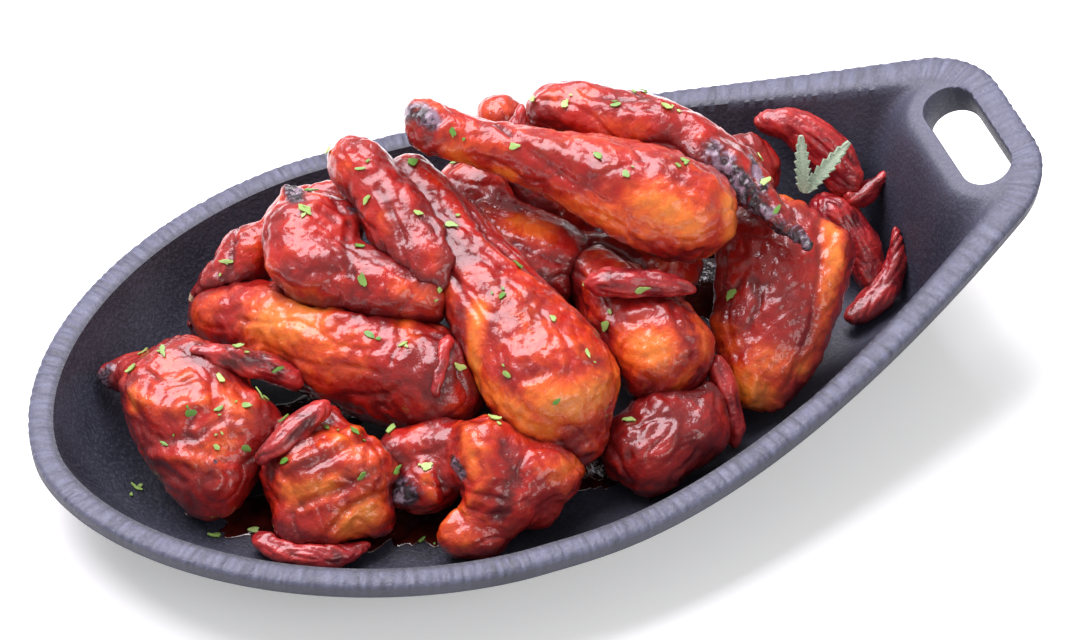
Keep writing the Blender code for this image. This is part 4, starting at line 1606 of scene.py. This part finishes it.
WINGS: tuple[RoastedPiece, ...] = (
    RoastedPiece("drumette_top", 1, "golden_skin", 0.45, (
        crease("bone_hollow", 1.5, 3.2, (413, 151)),
        char("bone_hole", 2.0, 1.0, (413, 148), (411, 152)),
        char("burnt_knuckle", 4.0, 0.75, (400, 118), (418, 112), (430, 122)),
        maroon("neck_glaze", 4.0, 0.8, (398, 150), (415, 165), (440, 178)),
        gold("neck_gold", 4.5, 0.8, (455, 150), (478, 172)),
        gold("shaft_spot", 2.5, 1.0, (500, 170), (512, 174)),
        gold("shaft_gold", 4.0, 0.7, (455, 170), (490, 180)),
        crease("long_fold", 1.1, 1.3, (498, 125), (530, 152), (574, 182)),
        crease("knuckle_fold", 1.6, 1.0, (436, 118), (430, 140), (440, 165)),
        maroon("back_glaze", 6.0, 0.55, (540, 150), (590, 165), (635, 182)),
        ridge("back_ridge", 2.0, 0.8, (520, 138), (570, 160), (630, 178)),
        maroon("belly_glaze", 4.0, 0.5, (560, 210), (600, 240), (640, 262)),
        gold("broad_gold", 8.0, 0.95, (650, 205), (690, 222)),
        gold("belly_spot", 5.0, 0.9, (596, 230), (608, 234)),
        gold("end_gold", 5.0, 1.0, (728, 205), (731, 235)),
        gold("low_gold", 6.0, 0.95, (700, 262), (715, 268)),
        gold("middle_gold", 7.0, 0.7, (560, 205), (640, 225)),
        crease("low_fold", 1.2, 0.9, (640, 250), (672, 262), (700, 250)),
        ridge("end_ridge", 1.6, 0.9, (712, 178), (727, 200), (731, 240)),
    ), lumps=0.8),
    RoastedPiece("drumette_middle", 2, "golden_skin", 0.4, (
        maroon("shaft_glaze", 4.0, 0.6, (455, 195), (490, 235), (520, 250)),
        gold("shaft_gold", 5.0, 0.6, (405, 190), (425, 240), (445, 285)),
        crease("long_fold", 1.0, 1.2, (450, 185), (490, 240), (545, 285)),
        crease("left_fold", 1.0, 1.0, (430, 235), (462, 290), (480, 320)),
        crease("right_fold", 0.9, 1.0, (500, 225), (560, 275), (592, 300)),
        crease("inner_fold", 0.9, 0.9, (470, 200), (515, 250), (575, 300)),
        crease("short_fold", 0.9, 0.8, (560, 255), (590, 290), (602, 320)),
        ridge("shaft_ridge", 1.2, 0.6, (480, 240), (530, 280)),
        gold("left_gold", 4.0, 1.0, (479, 310), (474, 360), (480, 400)),
        gold("end_gold", 7.0, 1.0, (545, 398), (575, 404), (600, 392)),
        gold("corner_gold", 5.0, 0.9, (488, 392), (520, 412)),
        gold("low_spot", 4.0, 1.0, (528, 424), (548, 430)),
        crease("end_fold", 1.3, 0.45, (500, 382), (540, 376), (590, 372), (612, 362)),
        gold("right_gold", 5.0, 0.7, (612, 345), (618, 390)),
        gold("broad_gold", 10.0, 0.45, (520, 310), (540, 345)),
    ), lumps=0.8),
    RoastedPiece("wing_top", 3, "dark_glaze", -0.45, (
        char("burnt_fold", 4.5, 0.8, (712, 150), (738, 180), (765, 212)),
        char("burnt_tip", 4.5, 1.0, (780, 232), (812, 258)),
        char("burnt_edge", 1.6, 1.0, (752, 158), (764, 190)),
        char("burnt_underside", 2.0, 0.8, (748, 200), (775, 235), (800, 252)),
        gold("middle_gold", 4.0, 0.4, (600, 122), (640, 132)),
        gold("spot", 2.0, 0.8, (757, 229)),
        crease("fold", 1.2, 1.0, (722, 172), (760, 205)),
        gold("near_gold", 4.0, 0.5, (556, 98), (590, 92)),
        ridge("fold_ridge", 1.4, 0.8, (700, 140), (740, 175), (770, 215)),
        crease("edge_crease", 1.2, 1.0, (745, 150), (762, 192), (772, 212)),
    ), lumps=1.2, voxel=0.6, swell=0.3),
    RoastedPiece("wing_right", 4, "glazed_skin", -0.15, (
        gold("top_gold", 5.0, 0.95, (765, 178), (795, 190)),
        gold("strip_top", 4.0, 1.0, (832, 228), (836, 262)),
        gold("strip", 3.5, 0.9, (833, 262), (822, 320), (800, 368)),
        gold("foot_gold", 7.0, 1.0, (745, 388), (757, 398)),
        gold("foot_side_gold", 6.0, 0.85, (768, 362), (790, 355)),
        maroon("broad_glaze", 9.0, 0.65, (750, 250), (785, 290), (795, 330)),
        gold("left_gold", 5.0, 0.55, (722, 325), (732, 345)),
        crease("strip_fold", 0.9, 0.9, (819, 200), (819, 260), (809, 330), (786, 385)),
        ridge("foot_ridge", 1.2, 1.0, (744, 362), (756, 375), (752, 396), (738, 416)),
        crease("left_fold", 1.0, 0.8, (752, 280), (758, 300), (748, 330)),
        maroon("left_glaze", 4.0, 0.7, (716, 260), (712, 300)),
    ), lumps=0.9),
    RoastedPiece("wing_upper_left", 5, "glazed_skin", 0.0, (
        char("burnt_knob", 3.0, 1.0, (292, 188), (297, 200)),
        char("burnt_cartilage", 2.0, 0.8, (349, 212), (356, 214)),
        pale("cartilage", 2.4, 0.9, (350, 200), (358, 203)),
        gold("left_gold", 4.0, 0.8, (256, 208), (258, 262)),
        gold("shoulder_gold", 5.0, 0.6, (270, 200), (262, 230)),
        maroon("low_glaze", 5.0, 0.7, (290, 272), (330, 268), (345, 255)),
        gold("arm_gold", 4.0, 0.5, (400, 290), (445, 300)),
        crease("elbow_fold", 1.2, 1.1, (348, 225), (345, 250), (352, 275)),
        crease("knob_fold", 1.2, 0.9, (300, 215), (322, 212), (335, 222)),
        maroon("elbow_glaze", 4.0, 0.6, (350, 230), (365, 255)),
        ridge("low_ridge", 2.0, 0.8, (265, 265), (300, 282), (340, 285)),
    ), lumps=1.1),
    RoastedPiece("shank_standing", 6, "glazed_skin", 0.0, (
        gold("side_gold", 3.0, 0.8, (388, 215), (394, 226)),
        maroon("side_glaze", 3.0, 0.6, (382, 190), (400, 235), (418, 262)),
        crease("side_fold", 0.9, 1.0, (378, 188), (392, 212), (405, 240)),
        gold("top_gold", 4.0, 0.35, (332, 150), (345, 165)),
    ), lumps=0.7),
    RoastedPiece("drumette_lower_left", 7, "golden_skin", 0.15, (
        gold("broad_gold", 11.0, 1.0, (270, 322), (300, 318)),
        gold("middle_gold", 8.0, 0.65, (310, 350), (345, 352)),
        gold("right_gold", 3.5, 0.8, (404, 322), (412, 345)),
        crease("right_fold", 1.2, 1.0, (398, 318), (400, 345), (390, 362)),
        maroon("low_glaze", 9.0, 0.6, (350, 385), (385, 385), (420, 360)),
        maroon("under_glaze", 4.0, 0.9, (320, 418), (370, 428), (410, 420)),
        gold("left_gold", 5.0, 0.5, (200, 325), (215, 300)),
        crease("left_fold", 1.2, 0.9, (232, 300), (246, 320), (236, 342)),
        maroon("top_glaze", 4.0, 0.5, (345, 300), (375, 315)),
        gold("low_gold", 4.0, 0.5, (330, 375), (360, 365)),
    ), lumps=1.1),
    RoastedPiece("drumette_right", 8, "golden_skin", 0.35, (
        gold("broad_gold", 8.0, 1.0, (640, 345), (655, 352)),
        gold("low_gold", 4.0, 0.7, (688, 372), (675, 390)),
        maroon("under_glaze", 5.0, 0.75, (632, 392), (655, 398)),
        crease("top_fold", 0.9, 1.0, (672, 308), (676, 330), (690, 345)),
        gold("side_gold", 4.0, 0.7, (700, 325), (704, 345)),
        maroon("top_glaze", 5.0, 0.5, (640, 312), (665, 305)),
    )),
    RoastedPiece("wing_folded_front", 9, "glazed_skin", 0.1, (
        char("burnt_end", 4.0, 0.95, (402, 488), (410, 496)),
        char("burnt_side", 3.0, 0.6, (382, 480), (390, 474)),
        char("burnt_joint", 2.6, 0.9, (455, 462), (462, 472)),
        ridge("long_ridge", 2.0, 1.3, (462, 424), (484, 452), (490, 478), (470, 502), (446, 530)),
        # Gold along the ridge's crest: a painted highlight over thin glaze.
        gold("ridge_highlight_gold", 3.0, 0.8, (468, 440), (474, 470)),
        gold("right_gold", 4.0, 0.7, (556, 472), (580, 462)),
        gold("foot_gold", 4.0, 0.6, (448, 528), (462, 538)),
        ridge("right_ridge", 1.6, 0.9, (572, 448), (584, 466), (560, 494)),
        crease("hollow", 2.2, 1.6, (505, 445), (515, 480), (500, 515)),
        ridge("left_ridge", 1.0, 0.7, (430, 474), (436, 498)),
        crease("left_fold", 0.9, 0.9, (438, 470), (446, 500)),
        gold("left_gold", 2.0, 0.6, (426, 478), (432, 498)),
        maroon("low_glaze", 6.0, 0.4, (530, 530), (550, 510)),
    ), lumps=1.0, voxel=0.65),
    RoastedPiece("wing_far_left", 10, "glazed_skin", 0.05, (
        gold("top_gold", 6.0, 0.55, (168, 362), (188, 392)),
        gold("side_gold", 8.0, 0.65, (236, 402), (252, 420)),
        gold("low_gold", 6.0, 0.55, (200, 460), (228, 440)),
        maroon("left_glaze", 5.0, 0.85, (112, 372), (128, 412), (160, 470), (196, 512)),
        maroon("right_glaze", 5.0, 0.7, (272, 400), (262, 440), (240, 500)),
        char("burnt_nub", 3.0, 0.95, (102, 382), (108, 374)),
        char("speck", 0.8, 1.0, (215, 462)),
        crease("top_fold", 1.1, 1.1, (148, 372), (168, 386), (192, 380)),
        crease("side_fold", 1.0, 1.1, (186, 392), (196, 412), (186, 434)),
        crease("middle_fold", 1.2, 1.1, (140, 425), (165, 442), (200, 436), (222, 418)),
        crease("low_fold", 1.2, 1.0, (160, 466), (182, 480), (194, 502)),
        ridge("top_ridge", 1.8, 1.0, (124, 385), (160, 410), (205, 404)),
        ridge("low_ridge", 1.6, 1.0, (150, 455), (185, 458), (215, 470)),
        gold("nub_gold", 3.0, 0.8, (136, 395), (134, 405)),
    ), lumps=1.0),
    RoastedPiece("wing_front_left", 11, "golden_skin", 0.35, (
        gold("upper_gold", 6.0, 1.0, (297, 486), (325, 480)),
        gold("lower_gold", 6.0, 1.0, (350, 524), (368, 512)),
        gold("broad_gold", 8.0, 0.6, (340, 452), (365, 462)),
        crease("upper_fold", 1.2, 1.4, (285, 476), (330, 458), (370, 436)),
        crease("middle_fold", 1.2, 1.2, (300, 505), (340, 490), (385, 465)),
        ridge("upper_ridge", 2.0, 1.0, (290, 470), (330, 448), (360, 430)),
        maroon("left_glaze", 4.0, 0.7, (262, 480), (272, 520)),
        pale("pale_skin", 3.0, 0.5, (358, 522)),
        maroon("fold_glaze", 4.0, 0.6, (300, 470), (330, 462)),
        crease("lower_fold", 1.0, 1.0, (330, 530), (352, 505), (380, 492)),
    ), lumps=1.2, voxel=0.65),
    RoastedPiece("wing_front_right", 12, "dark_glaze", -0.75, (
        maroon("broad_glaze", 12.0, 0.8, (620, 425), (660, 415), (690, 425)),
        crease("left_fold", 1.6, 1.2, (625, 405), (640, 430), (630, 455)),
        ridge("right_ridge", 2.0, 1.0, (655, 400), (672, 420), (668, 450)),
    ), lumps=1.4),
    RoastedPiece("wing_centre", 13, "glazed_skin", 0.2, (
        gold("upper_gold", 6.0, 0.7, (520, 225), (548, 232)),
        gold("right_gold", 4.0, 0.6, (596, 272), (612, 280)),
        maroon("top_glaze", 4.0, 0.8, (500, 195), (515, 205)),
        crease("fold", 1.0, 1.0, (515, 245), (560, 262)),
        maroon("fold_glaze", 3.0, 0.5, (560, 230), (575, 250)),
    )),
    RoastedPiece("wing_left_edge", 14, "glazed_skin", 0.0, (
        pale("bone_end", 1.8, 1.0, (196, 298)),
        gold("upper_gold", 4.0, 0.5, (240, 225), (265, 205)),
        maroon("end_glaze", 3.0, 0.8, (190, 310), (188, 330)),
        crease("upper_fold", 1.0, 1.0, (238, 225), (232, 260), (225, 285)),
        crease("inner_fold", 1.0, 0.8, (215, 240), (212, 270)),
    ), lumps=1.1),
    RoastedPiece("drumette_back", 15, "glazed_skin", 0.15, (
        gold("top_gold", 5.0, 0.5, (478, 112), (500, 108)),
        gold("side_spot", 3.0, 0.6, (490, 122)),
    ), lumps=0.9),
    RoastedPiece("wing_back_right", 16, "glazed_skin", -0.3, (
        maroon("broad_glaze", 6.0, 0.6, (735, 128), (755, 145)),
        crease("fold", 1.0, 0.9, (742, 125), (750, 150)),
    ), lumps=1.0),
)


@dataclass
class DriedChilli(GrownPiece):
    """A whole dried chilli, shrivelled lengthwise.

    Attributes:
        voxel: size of the remeshing's cubes in millimetres.
        swell: how far it stands out from the solid in millimetres.
        stretch: how many times longer than wide its wrinkles are.
        line: the wrinkles, which are deepest where this noise crosses zero.
        wrinkle: height of the wrinkles.
        pinch: where it is drawn in or swollen.
        rough: fine roughness.
        shine: how much brighter it is painted for each millimetre that it stands up: a painted
            highlight on the crests and painted shade in the wrinkles.
    """

    voxel: float = 0.42
    swell: float = 0.2
    stretch: float = 4.0
    line: Relief = Relief(2.2, 2.0, 0)
    wrinkle: float = 0.42
    pinch: Relief = Relief(6.5, 0.8, 5)
    rough: Relief = Relief(1.2, 0.12, 7)
    shine: float = 0.6

    def build(self, look: bpy.types.Material) -> bpy.types.Object:
        """Grow and wrinkle the chilli.

        Args:
            look: the skin's material.

        Returns:
            The finished chilli.
        """
        made = self.grow(self.voxel)
        mesh = made.data
        places = places_of(mesh)
        line = self.line.over(self.aligned(places, self.stretch), self.seed)
        push = (self.swell + self.wrinkle * (np.abs(line) - 0.5)
                + self.pinch.over(places, self.seed) + self.rough.over(places, self.seed))
        put_places(mesh, places + normals_of(mesh) * push[:, None])
        # Painted highlight on the crests and painted shade in the wrinkles, by how far the skin
        # stands out.
        paint(mesh, Layer.HIGH, 0.5 + push * self.shine)
        smooth(made)
        settle(made, look, "dried_chilli", self.node)
        return made


FIRST_CHILLI_SEED = 21
CHILLIES: tuple[str, ...] = (
    "chilli_arch", "chilli_bend", "chilli_tip_up", "chilli_sickle", "chilli_left",
    "chilli_middle", "chilli_front_right", "chilli_tip_back", "chilli_lower_left",
    "chilli_front_left", "chilli_under",
)


# Leaves

@dataclass
class Sprig:
    """Two downy leaflets with blunt teeth, springing from one point.

    Attributes:
        base: where they spring from, in millimetres.
        tips: where they end.
        facing: the way that their faces look.
        width: width of a leaflet with its teeth.
        teeth: number of teeth on each side.
        tooth_rows: grid rows for each tooth.
        columns: grid columns across a leaflet.
        notch: width left at the foot of a tooth, as a share of the blade's.
        tooth_swell: below 1 a tooth bulges.
        stalk: width at the base, as a share of the widest.
        round_from: where on its half-wave the blade's outline begins, as a share.
        round_run: how much of the half-wave it runs through.
        round_power: below 1 the outline is blunter.
        thinnest: half of the least width.
        cup: how far the edges rise above the rib.
        cup_power: above 1 the rise is near the edges.
        bow: height of the leaflet's bend along its length.
        bow_turn: how far the bend turns, in radians.
        slant: how far the teeth reach towards the tip, as a share of the length.
        thickness: of the leaf, drawn a little thick so that it holds together.
        rib_width: how far the pale rib reaches on each side.
    """

    base: tuple[float, float, float] = (88.0, 2.5, 49.0)
    tips: tuple[tuple[float, float, float], ...] = ((90.0, 10.0, 65.0), (104.0, 6.0, 61.0))
    facing: tuple[float, float, float] = (-0.27, -0.66, 0.70)
    width: float = 5.4
    teeth: int = 7
    tooth_rows: int = 6
    columns: int = 8
    notch: float = 0.42
    tooth_swell: float = 0.9
    stalk: float = 0.22
    round_from: float = 0.12
    round_run: float = 0.9
    round_power: float = 0.8
    thinnest: float = 0.4
    cup: float = 0.55
    cup_power: float = 1.5
    bow: float = 0.5
    bow_turn: float = 5.0
    slant: float = 0.045
    thickness: float = 0.7
    rib_width: float = 1.0

    def blade(self, t: float) -> float:
        """Half of a leaflet's width at a share of its length, before its teeth."""
        wave = math.sin(math.pi * min(1.0, self.round_from + t * self.round_run))
        return self.width / 2.0 * (self.stalk + (1.0 - self.stalk) * wave ** self.round_power)

    def leaflet(self, shell: bmesh.types.BMesh, tip: tuple[float, float, float]) -> None:
        """Add one leaflet to the sprig: a grid drawn to a toothed, cupped blade.

        Args:
            shell: the sprig's bmesh.
            tip: where the leaflet ends.
        """
        base = Vector(self.base)
        way = Vector(tip) - base
        side = way.normalized().cross(Vector(self.facing)).normalized()
        out = side.cross(way.normalized())
        made = bmesh.ops.create_grid(shell, x_segments=self.columns,
                                     y_segments=self.teeth * self.tooth_rows, size=1.0)
        for vert in made["verts"]:
            across, t = vert.co.x, (vert.co.y + 1.0) / 2.0
            saw = (t * self.teeth) % 1.0
            cut = (1.0 - self.notch) * (1.0 - saw ** self.tooth_swell)
            reach = across * max(self.thinnest, self.blade(t) * (1.0 - cut * abs(across) ** 2))
            rise = self.cup * abs(across) ** self.cup_power + self.bow * math.sin(t * self.bow_turn)
            along = min(1.0, t + self.slant * abs(across) * (1.0 - t))
            vert.co = base + way * along + side * reach + out * rise

    def build(self, look: bpy.types.Material) -> bpy.types.Object:
        """Build both leaflets in place of the solid.

        Args:
            look: the leaf's material.

        Returns:
            The sprig.
        """
        shell = bmesh.new()
        for tip in self.tips:
            self.leaflet(shell, tip)
        made = object_of("sprig_leaves", mesh_from(shell, "sprig_leaves"))
        thick = made.modifiers.new("leaf", "SOLIDIFY")
        thick.thickness = self.thickness * MM
        thick.offset = 0.0
        bake(made)
        places = places_of(made.data)
        near = np.minimum(*(distance_to(places, np.array(self.base), np.array(tip))
                            for tip in self.tips))
        paint(made.data, Layer.RIB, 1.0 - near / self.rib_width)
        smooth(made, sharp=60.0)
        settle(made, look, "sage_leaf", "sprig")
        return made


@dataclass
class HerbFlecks:
    """Chopped herb scattered over the serving by the same seeded rule as the solids'.

    Attributes:
        seed: of the scatter.
        count: number of places that are tried.
        spacing: least distance between two places, in millimetres.
        field_oval: the middle and the half axes of the oval that they fall in.
        size: shortest and longest scrap of the solids.
        shown: how many times longer a scrap is drawn than in the solids.
        cluster: how far off smaller scraps fall beside one.
        beside: numbers of smaller scraps, one of which is drawn for each place.
        smaller: their length, as a share.
        steepest: least upward lean of what a scrap stays on.
        look_from: height above a scrap from which its neighbours' ground is sought, in metres.
        sides: corners of a scrap.
        narrow: its width, as a share of its length.
        curl: how far its ends turn up.
        curl_height: height of a full curl, as a share of its length.
        lobes: numbers of lobes, one of which is drawn for each scrap.
        body: size of a scrap without its lobes.
        lobe: depth of the lobes.
        dome: how far its middle stands above its edge.
        ragged: how far each corner is pulled in or out.
        lift: how far a scrap stands off what it lies on.
        thickness: of the leaf.
    """

    seed: int = 7
    count: int = 78
    spacing: float = 7.5
    field_oval: tuple[float, float, float, float] = (-22.0, 4.0, 104.0, 58.0)
    size: tuple[float, float] = (1.9, 3.0)
    shown: float = 1.5
    cluster: float = 3.2
    beside: tuple[int, ...] = (0, 0, 1, 1, 2)
    smaller: tuple[float, float] = (0.4, 0.8)
    steepest: float = 0.2
    look_from: float = 0.1
    sides: int = 13
    narrow: tuple[float, float] = (0.32, 0.7)
    curl: tuple[float, float] = (-0.25, 0.5)
    curl_height: float = 0.24
    lobes: tuple[int, ...] = (2, 3, 3, 4)
    body: float = 0.98
    lobe: float = 0.16
    dome: float = 0.25
    ragged: tuple[float, float] = (0.75, 1.2)
    lift: float = 0.3
    thickness: float = 0.35

    def spots(self) -> list[tuple[float, float, float, float]]:
        """Places, lengths and turns of the flecks.

        Returns:
            One x, y, length and turn for each.
        """
        draw = random.Random(self.seed)
        centre_x, centre_y, half_x, half_y = self.field_oval
        found: list[tuple[float, float, float, float]] = []
        while len(found) < self.count:
            x, y = draw.uniform(-1.0, 1.0), draw.uniform(-1.0, 1.0)
            length, turn = draw.uniform(*self.size), draw.uniform(0.0, math.pi)
            if x * x + y * y > 1.0:
                continue
            place = (centre_x + x * half_x, centre_y + y * half_y)
            if all(math.dist(place, spot[:2]) > self.spacing for spot in found):
                found.append((*place, length, turn))
        return found

    def scrap(self, shell: bmesh.types.BMesh, place: Vector, normal: Vector, length: float,
              turn: float, draw: random.Random) -> None:
        """Add one scrap of leaf: a ragged curled disc lying on the surface.

        Args:
            shell: the flecks' bmesh.
            place: where it lies, in metres.
            normal: the way up there.
            length: its length in millimetres.
            turn: how far it is turned about the normal, in radians.
            draw: the source of its chances.
        """
        made = bmesh.ops.create_circle(shell, cap_ends=True, cap_tris=True,
                                       segments=self.sides, radius=0.5)
        verts = made["verts"]
        width = length * draw.uniform(*self.narrow)
        rise = length * self.curl_height * draw.uniform(*self.curl)
        lobes = draw.choice(self.lobes)
        for vert in verts:
            far = vert.co.length
            around = math.atan2(vert.co.y, vert.co.x)
            lobe = self.body + self.lobe * math.cos(lobes * around + turn)
            vert.co *= draw.uniform(*self.ragged) * lobe
            curled = rise * (vert.co.x * 2.0) ** 2 + self.dome * (1.0 - far)
            vert.co = Vector((vert.co.x * length, vert.co.y * width, curled))
        lie = normal.to_track_quat("Z", "Y").to_matrix() @ Matrix.Rotation(turn, 3, "Z")
        bmesh.ops.rotate(shell, matrix=lie, verts=verts)
        bmesh.ops.translate(shell, vec=place / MM + normal * self.lift, verts=verts)

    def build(self, look: bpy.types.Material, ground: BVHTree) -> bpy.types.Object:
        """Scatter the flecks.

        Args:
            look: the herb's material.
            ground: a search tree over everything that they fall on.

        Returns:
            All the flecks as one piece.
        """
        shell = bmesh.new()
        draw = random.Random(self.seed + 1)
        shades = []
        for x, y, length, turn in self.spots():
            place, normal = ground_below(ground, x, y)
            if place is None or normal.z < self.steepest:
                continue
            before = len(shell.verts)
            self.scrap(shell, place, normal, length * self.shown, turn, draw)
            for _ in range(draw.choice(self.beside)):
                aside = Vector((draw.uniform(-1.0, 1.0), draw.uniform(-1.0, 1.0), 0.0))
                start = place + aside * self.cluster * MM - DOWN * self.look_from
                near, lean = ground.ray_cast(start, DOWN)[:2]
                if near and abs(near.z - place.z) < self.cluster * MM:
                    self.scrap(shell, near, lean, length * draw.uniform(*self.smaller),
                               draw.uniform(0.0, math.pi), draw)
            shades += [draw.random()] * (len(shell.verts) - before)
        made = object_of("herb_flecks", mesh_from(shell, "herb_flecks"))
        paint(made.data, Layer.SHADE, np.array(shades))
        thick = made.modifiers.new("leaf", "SOLIDIFY")
        thick.thickness = self.thickness * MM
        thick.offset = 0.0
        bake(made)
        smooth(made, sharp=50.0)
        settle(made, look, "sage_leaf")
        return made


# Sauce

@dataclass(frozen=True)
class Puddle:
    """A patch of run-off glaze, placed by a pixel of the photograph; one of them is painted shade.

    Attributes:
        name: which piece it has run off, and for one pool the gap where it is painted shade.
        px: the pixel's column.
        py: its row.
        half_length: half of the patch's length in millimetres.
        half_width: half of its width.
        turn: how far it is turned about +Z, in degrees.
    """

    name: str
    px: float
    py: float
    half_length: float
    half_width: float
    turn: float


@dataclass
class SaucePools:
    """Thin glossy pools on the dish round the feet of the wings, and a dark one laid as painted
    shade in a gap of the heap.

    Attributes:
        thickness: height of a pool's middle above the iron.
        flat: below 1 a pool is flat-topped with steep edges.
        uneven: how far its outline swings in and out.
        bays: how fast the outline's broad bays follow each other.
        inlets: the same for its narrow inlets.
        inlet_share: how deep those are beside the bays.
        apart: how far the pools lie from each other in the noise.
        puddles: the pools.
    """

    thickness: float = 0.55
    flat: float = 0.6
    uneven: float = 0.55
    bays: float = 1.6
    inlets: float = 5.0
    inlet_share: float = 0.5
    apart: float = 5.0
    puddles: tuple[Puddle, ...] = (
        Puddle("far_left_foot", 215, 500, 12.0, 7.0, -40.0),
        Puddle("front_left_foot", 270, 520, 16.0, 9.0, -20.0),
        Puddle("front_left_end", 370, 525, 14.0, 8.0, 0.0),
        Puddle("front_gap", 430, 520, 13.0, 8.0, 10.0),
        Puddle("folded_foot", 500, 520, 18.0, 7.0, 15.0),
        Puddle("front_right_foot", 620, 455, 20.0, 8.0, 25.0),
        Puddle("right_foot", 700, 420, 18.0, 8.0, 30.0),
        # A dark pool where the heap's shade falls on the floor: painted shade.
        Puddle("right_gap_shade", 706, 290, 17.0, 11.0, 30.0),
        Puddle("left_gap", 235, 430, 12.0, 10.0, 0.0),
        Puddle("middle_left_gap", 300, 430, 20.0, 10.0, 0.0),
        Puddle("middle_gap", 570, 450, 14.0, 9.0, 0.0),
        Puddle("middle_right_gap", 660, 430, 14.0, 9.0, 20.0),
    )

    def edge(self, around: float, number: int) -> float:
        """How far a pool's outline reaches at an angle, 1 on average.

        Args:
            around: the angle in radians.
            number: the pool's own.

        Returns:
            The share of its radius.
        """
        x, y = math.cos(around), math.sin(around)
        swing = noise.noise((x * self.bays, y * self.bays, number * self.apart))
        swing += self.inlet_share * noise.noise((x * self.inlets, y * self.inlets, number))
        return 1.0 + self.uneven * swing

    def build(self, look: bpy.types.Material, ground: BVHTree) -> bpy.types.Object:
        """Lay the pools on the dish.

        Args:
            look: the sauce's material.
            ground: a search tree over the dish.

        Returns:
            All the pools as one piece.
        """
        shell = bmesh.new()
        for number, puddle in enumerate(self.puddles):
            hit = ground.ray_cast(VIEW.eye(), VIEW.ray(puddle.px, puddle.py))[0]
            if hit is None:
                continue
            made = bmesh.ops.create_uvsphere(shell, u_segments=64, v_segments=24, radius=1.0)
            turn = math.radians(puddle.turn)
            for vert in made["verts"]:
                reach = self.edge(math.atan2(vert.co.y, vert.co.x), number)
                reach = Vector((vert.co.x, vert.co.y)) * reach
                x = reach.x * puddle.half_length
                y = reach.y * puddle.half_width
                place = Vector((hit.x / MM + x * math.cos(turn) - y * math.sin(turn),
                                hit.y / MM + x * math.sin(turn) + y * math.cos(turn)))
                below = ground_below(ground, *place)[0] or hit
                bulge = math.copysign(abs(vert.co.z) ** self.flat, vert.co.z)
                vert.co = (*place, below.z / MM + self.thickness * bulge)
        made = object_of("sauce_pools", mesh_from(shell, "sauce_pools"))
        smooth(made)
        settle(made, look, "dark_glaze")
        return made


# Studio

@dataclass(frozen=True)
class SoftBox:
    """A rectangular light that faces the middle of the heap.

    Attributes:
        name: the light's name.
        place: where it hangs, in metres.
        size: its width and height in metres.
        energy: its power in watts.
        colour: its colour.
    """

    name: str
    place: tuple[float, float, float]
    size: tuple[float, float]
    energy: float
    colour: str = "#ffffff"


@dataclass(frozen=True)
class Studio:
    """A plain pale floor and soft light, with a pale surround.

    Attributes:
        floor_size: width of the floor in metres.
        paper: the floor's colour.
        floor_glow: how strongly the paper glows, a painted light that lifts its shadows to white.
        surround: strength of the white surround.
        aim: the point that the lights face, in metres.
        boxes: the lights, a large one over the far side and a fill in front.
    """

    floor_size: float = 6.0
    paper: str = "#f6f6f6"
    floor_glow: float = 0.3
    surround: float = 0.42
    aim: tuple[float, float, float] = (0.0, 0.0, 0.04)
    boxes: tuple[SoftBox, ...] = (
        SoftBox("overhead_box", (-0.12, 0.48, 0.98), (1.25, 0.8), 24.0, "#fbf6ff"),
        SoftBox("front_fill", (0.5, -1.6, 1.2), (1.0, 1.0), 8.64),
    )

    def floor(self) -> None:
        """Lay the floor."""
        shell = bmesh.new()
        bmesh.ops.create_grid(shell, x_segments=1, y_segments=1, size=self.floor_size / 2.0 / MM)
        made = object_of("floor", mesh_from(shell, "floor"))
        # The paper glows though it is no lamp: painted light that lifts the shadows on the floor.
        paper = Nodes("glowing_white_paper").finish(
            Base_Color=linear(self.paper), Roughness=0.9,
            Emission_Color=linear("#ffffff"), Emission_Strength=self.floor_glow)
        made.data.materials.append(paper)

    def hang(self, box: SoftBox) -> None:
        """Hang one light.

        Args:
            box: its size, place and strength.
        """
        light = bpy.data.lights.new(box.name, "AREA")
        light.shape = "RECTANGLE"
        light.size, light.size_y = box.size
        light.energy = box.energy
        light.color = linear(box.colour)[:3]
        made = bpy.data.objects.new(box.name, light)
        bpy.context.scene.collection.objects.link(made)
        way = Vector(self.aim) - Vector(box.place)
        turned = way.to_track_quat("-Z", "Y").to_matrix().to_4x4()
        made.matrix_world = Matrix.Translation(box.place) @ turned

    def build(self) -> None:
        """Set the stage, the lights and the surround."""
        self.floor()
        for box in self.boxes:
            self.hang(box)
        world = bpy.data.worlds.new("surround")
        bpy.context.scene.world = world
        world.use_nodes = True
        ground = world.node_tree.nodes["Background"]
        ground.inputs["Color"].default_value = (1.0, 1.0, 1.0, 1.0)
        ground.inputs["Strength"].default_value = self.surround
        bpy.context.scene.view_settings.view_transform = "Standard"


def main() -> None:
    """Build every piece in order."""
    logging.basicConfig(level=logging.INFO, format="%(name)s: %(message)s")
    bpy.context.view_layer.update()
    VIEW.build()
    Studio().build()
    nodes = frame["nodes"]
    dish = ServingDish().build(CastIron().build())
    dish_tree = tree_of([dish])
    skin = RoastedSkin().build()
    shown = []
    for wing in WINGS:
        others = tree_of([thing for name, thing in nodes.items() if name != wing.node])
        shown.append(wing.build(skin, others))
    pepper = DriedChilliSkin().build()
    for seed, name in enumerate(CHILLIES, start=FIRST_CHILLI_SEED):
        shown.append(DriedChilli(name, seed).build(pepper))
    Sprig().build(SilverLeaf().build())
    SaucePools().build(Sauce().build(), dish_tree)
    HerbFlecks().build(HerbLeaf().build(), tree_of(shown + [dish]))


if __name__ == "__main__":
    main()
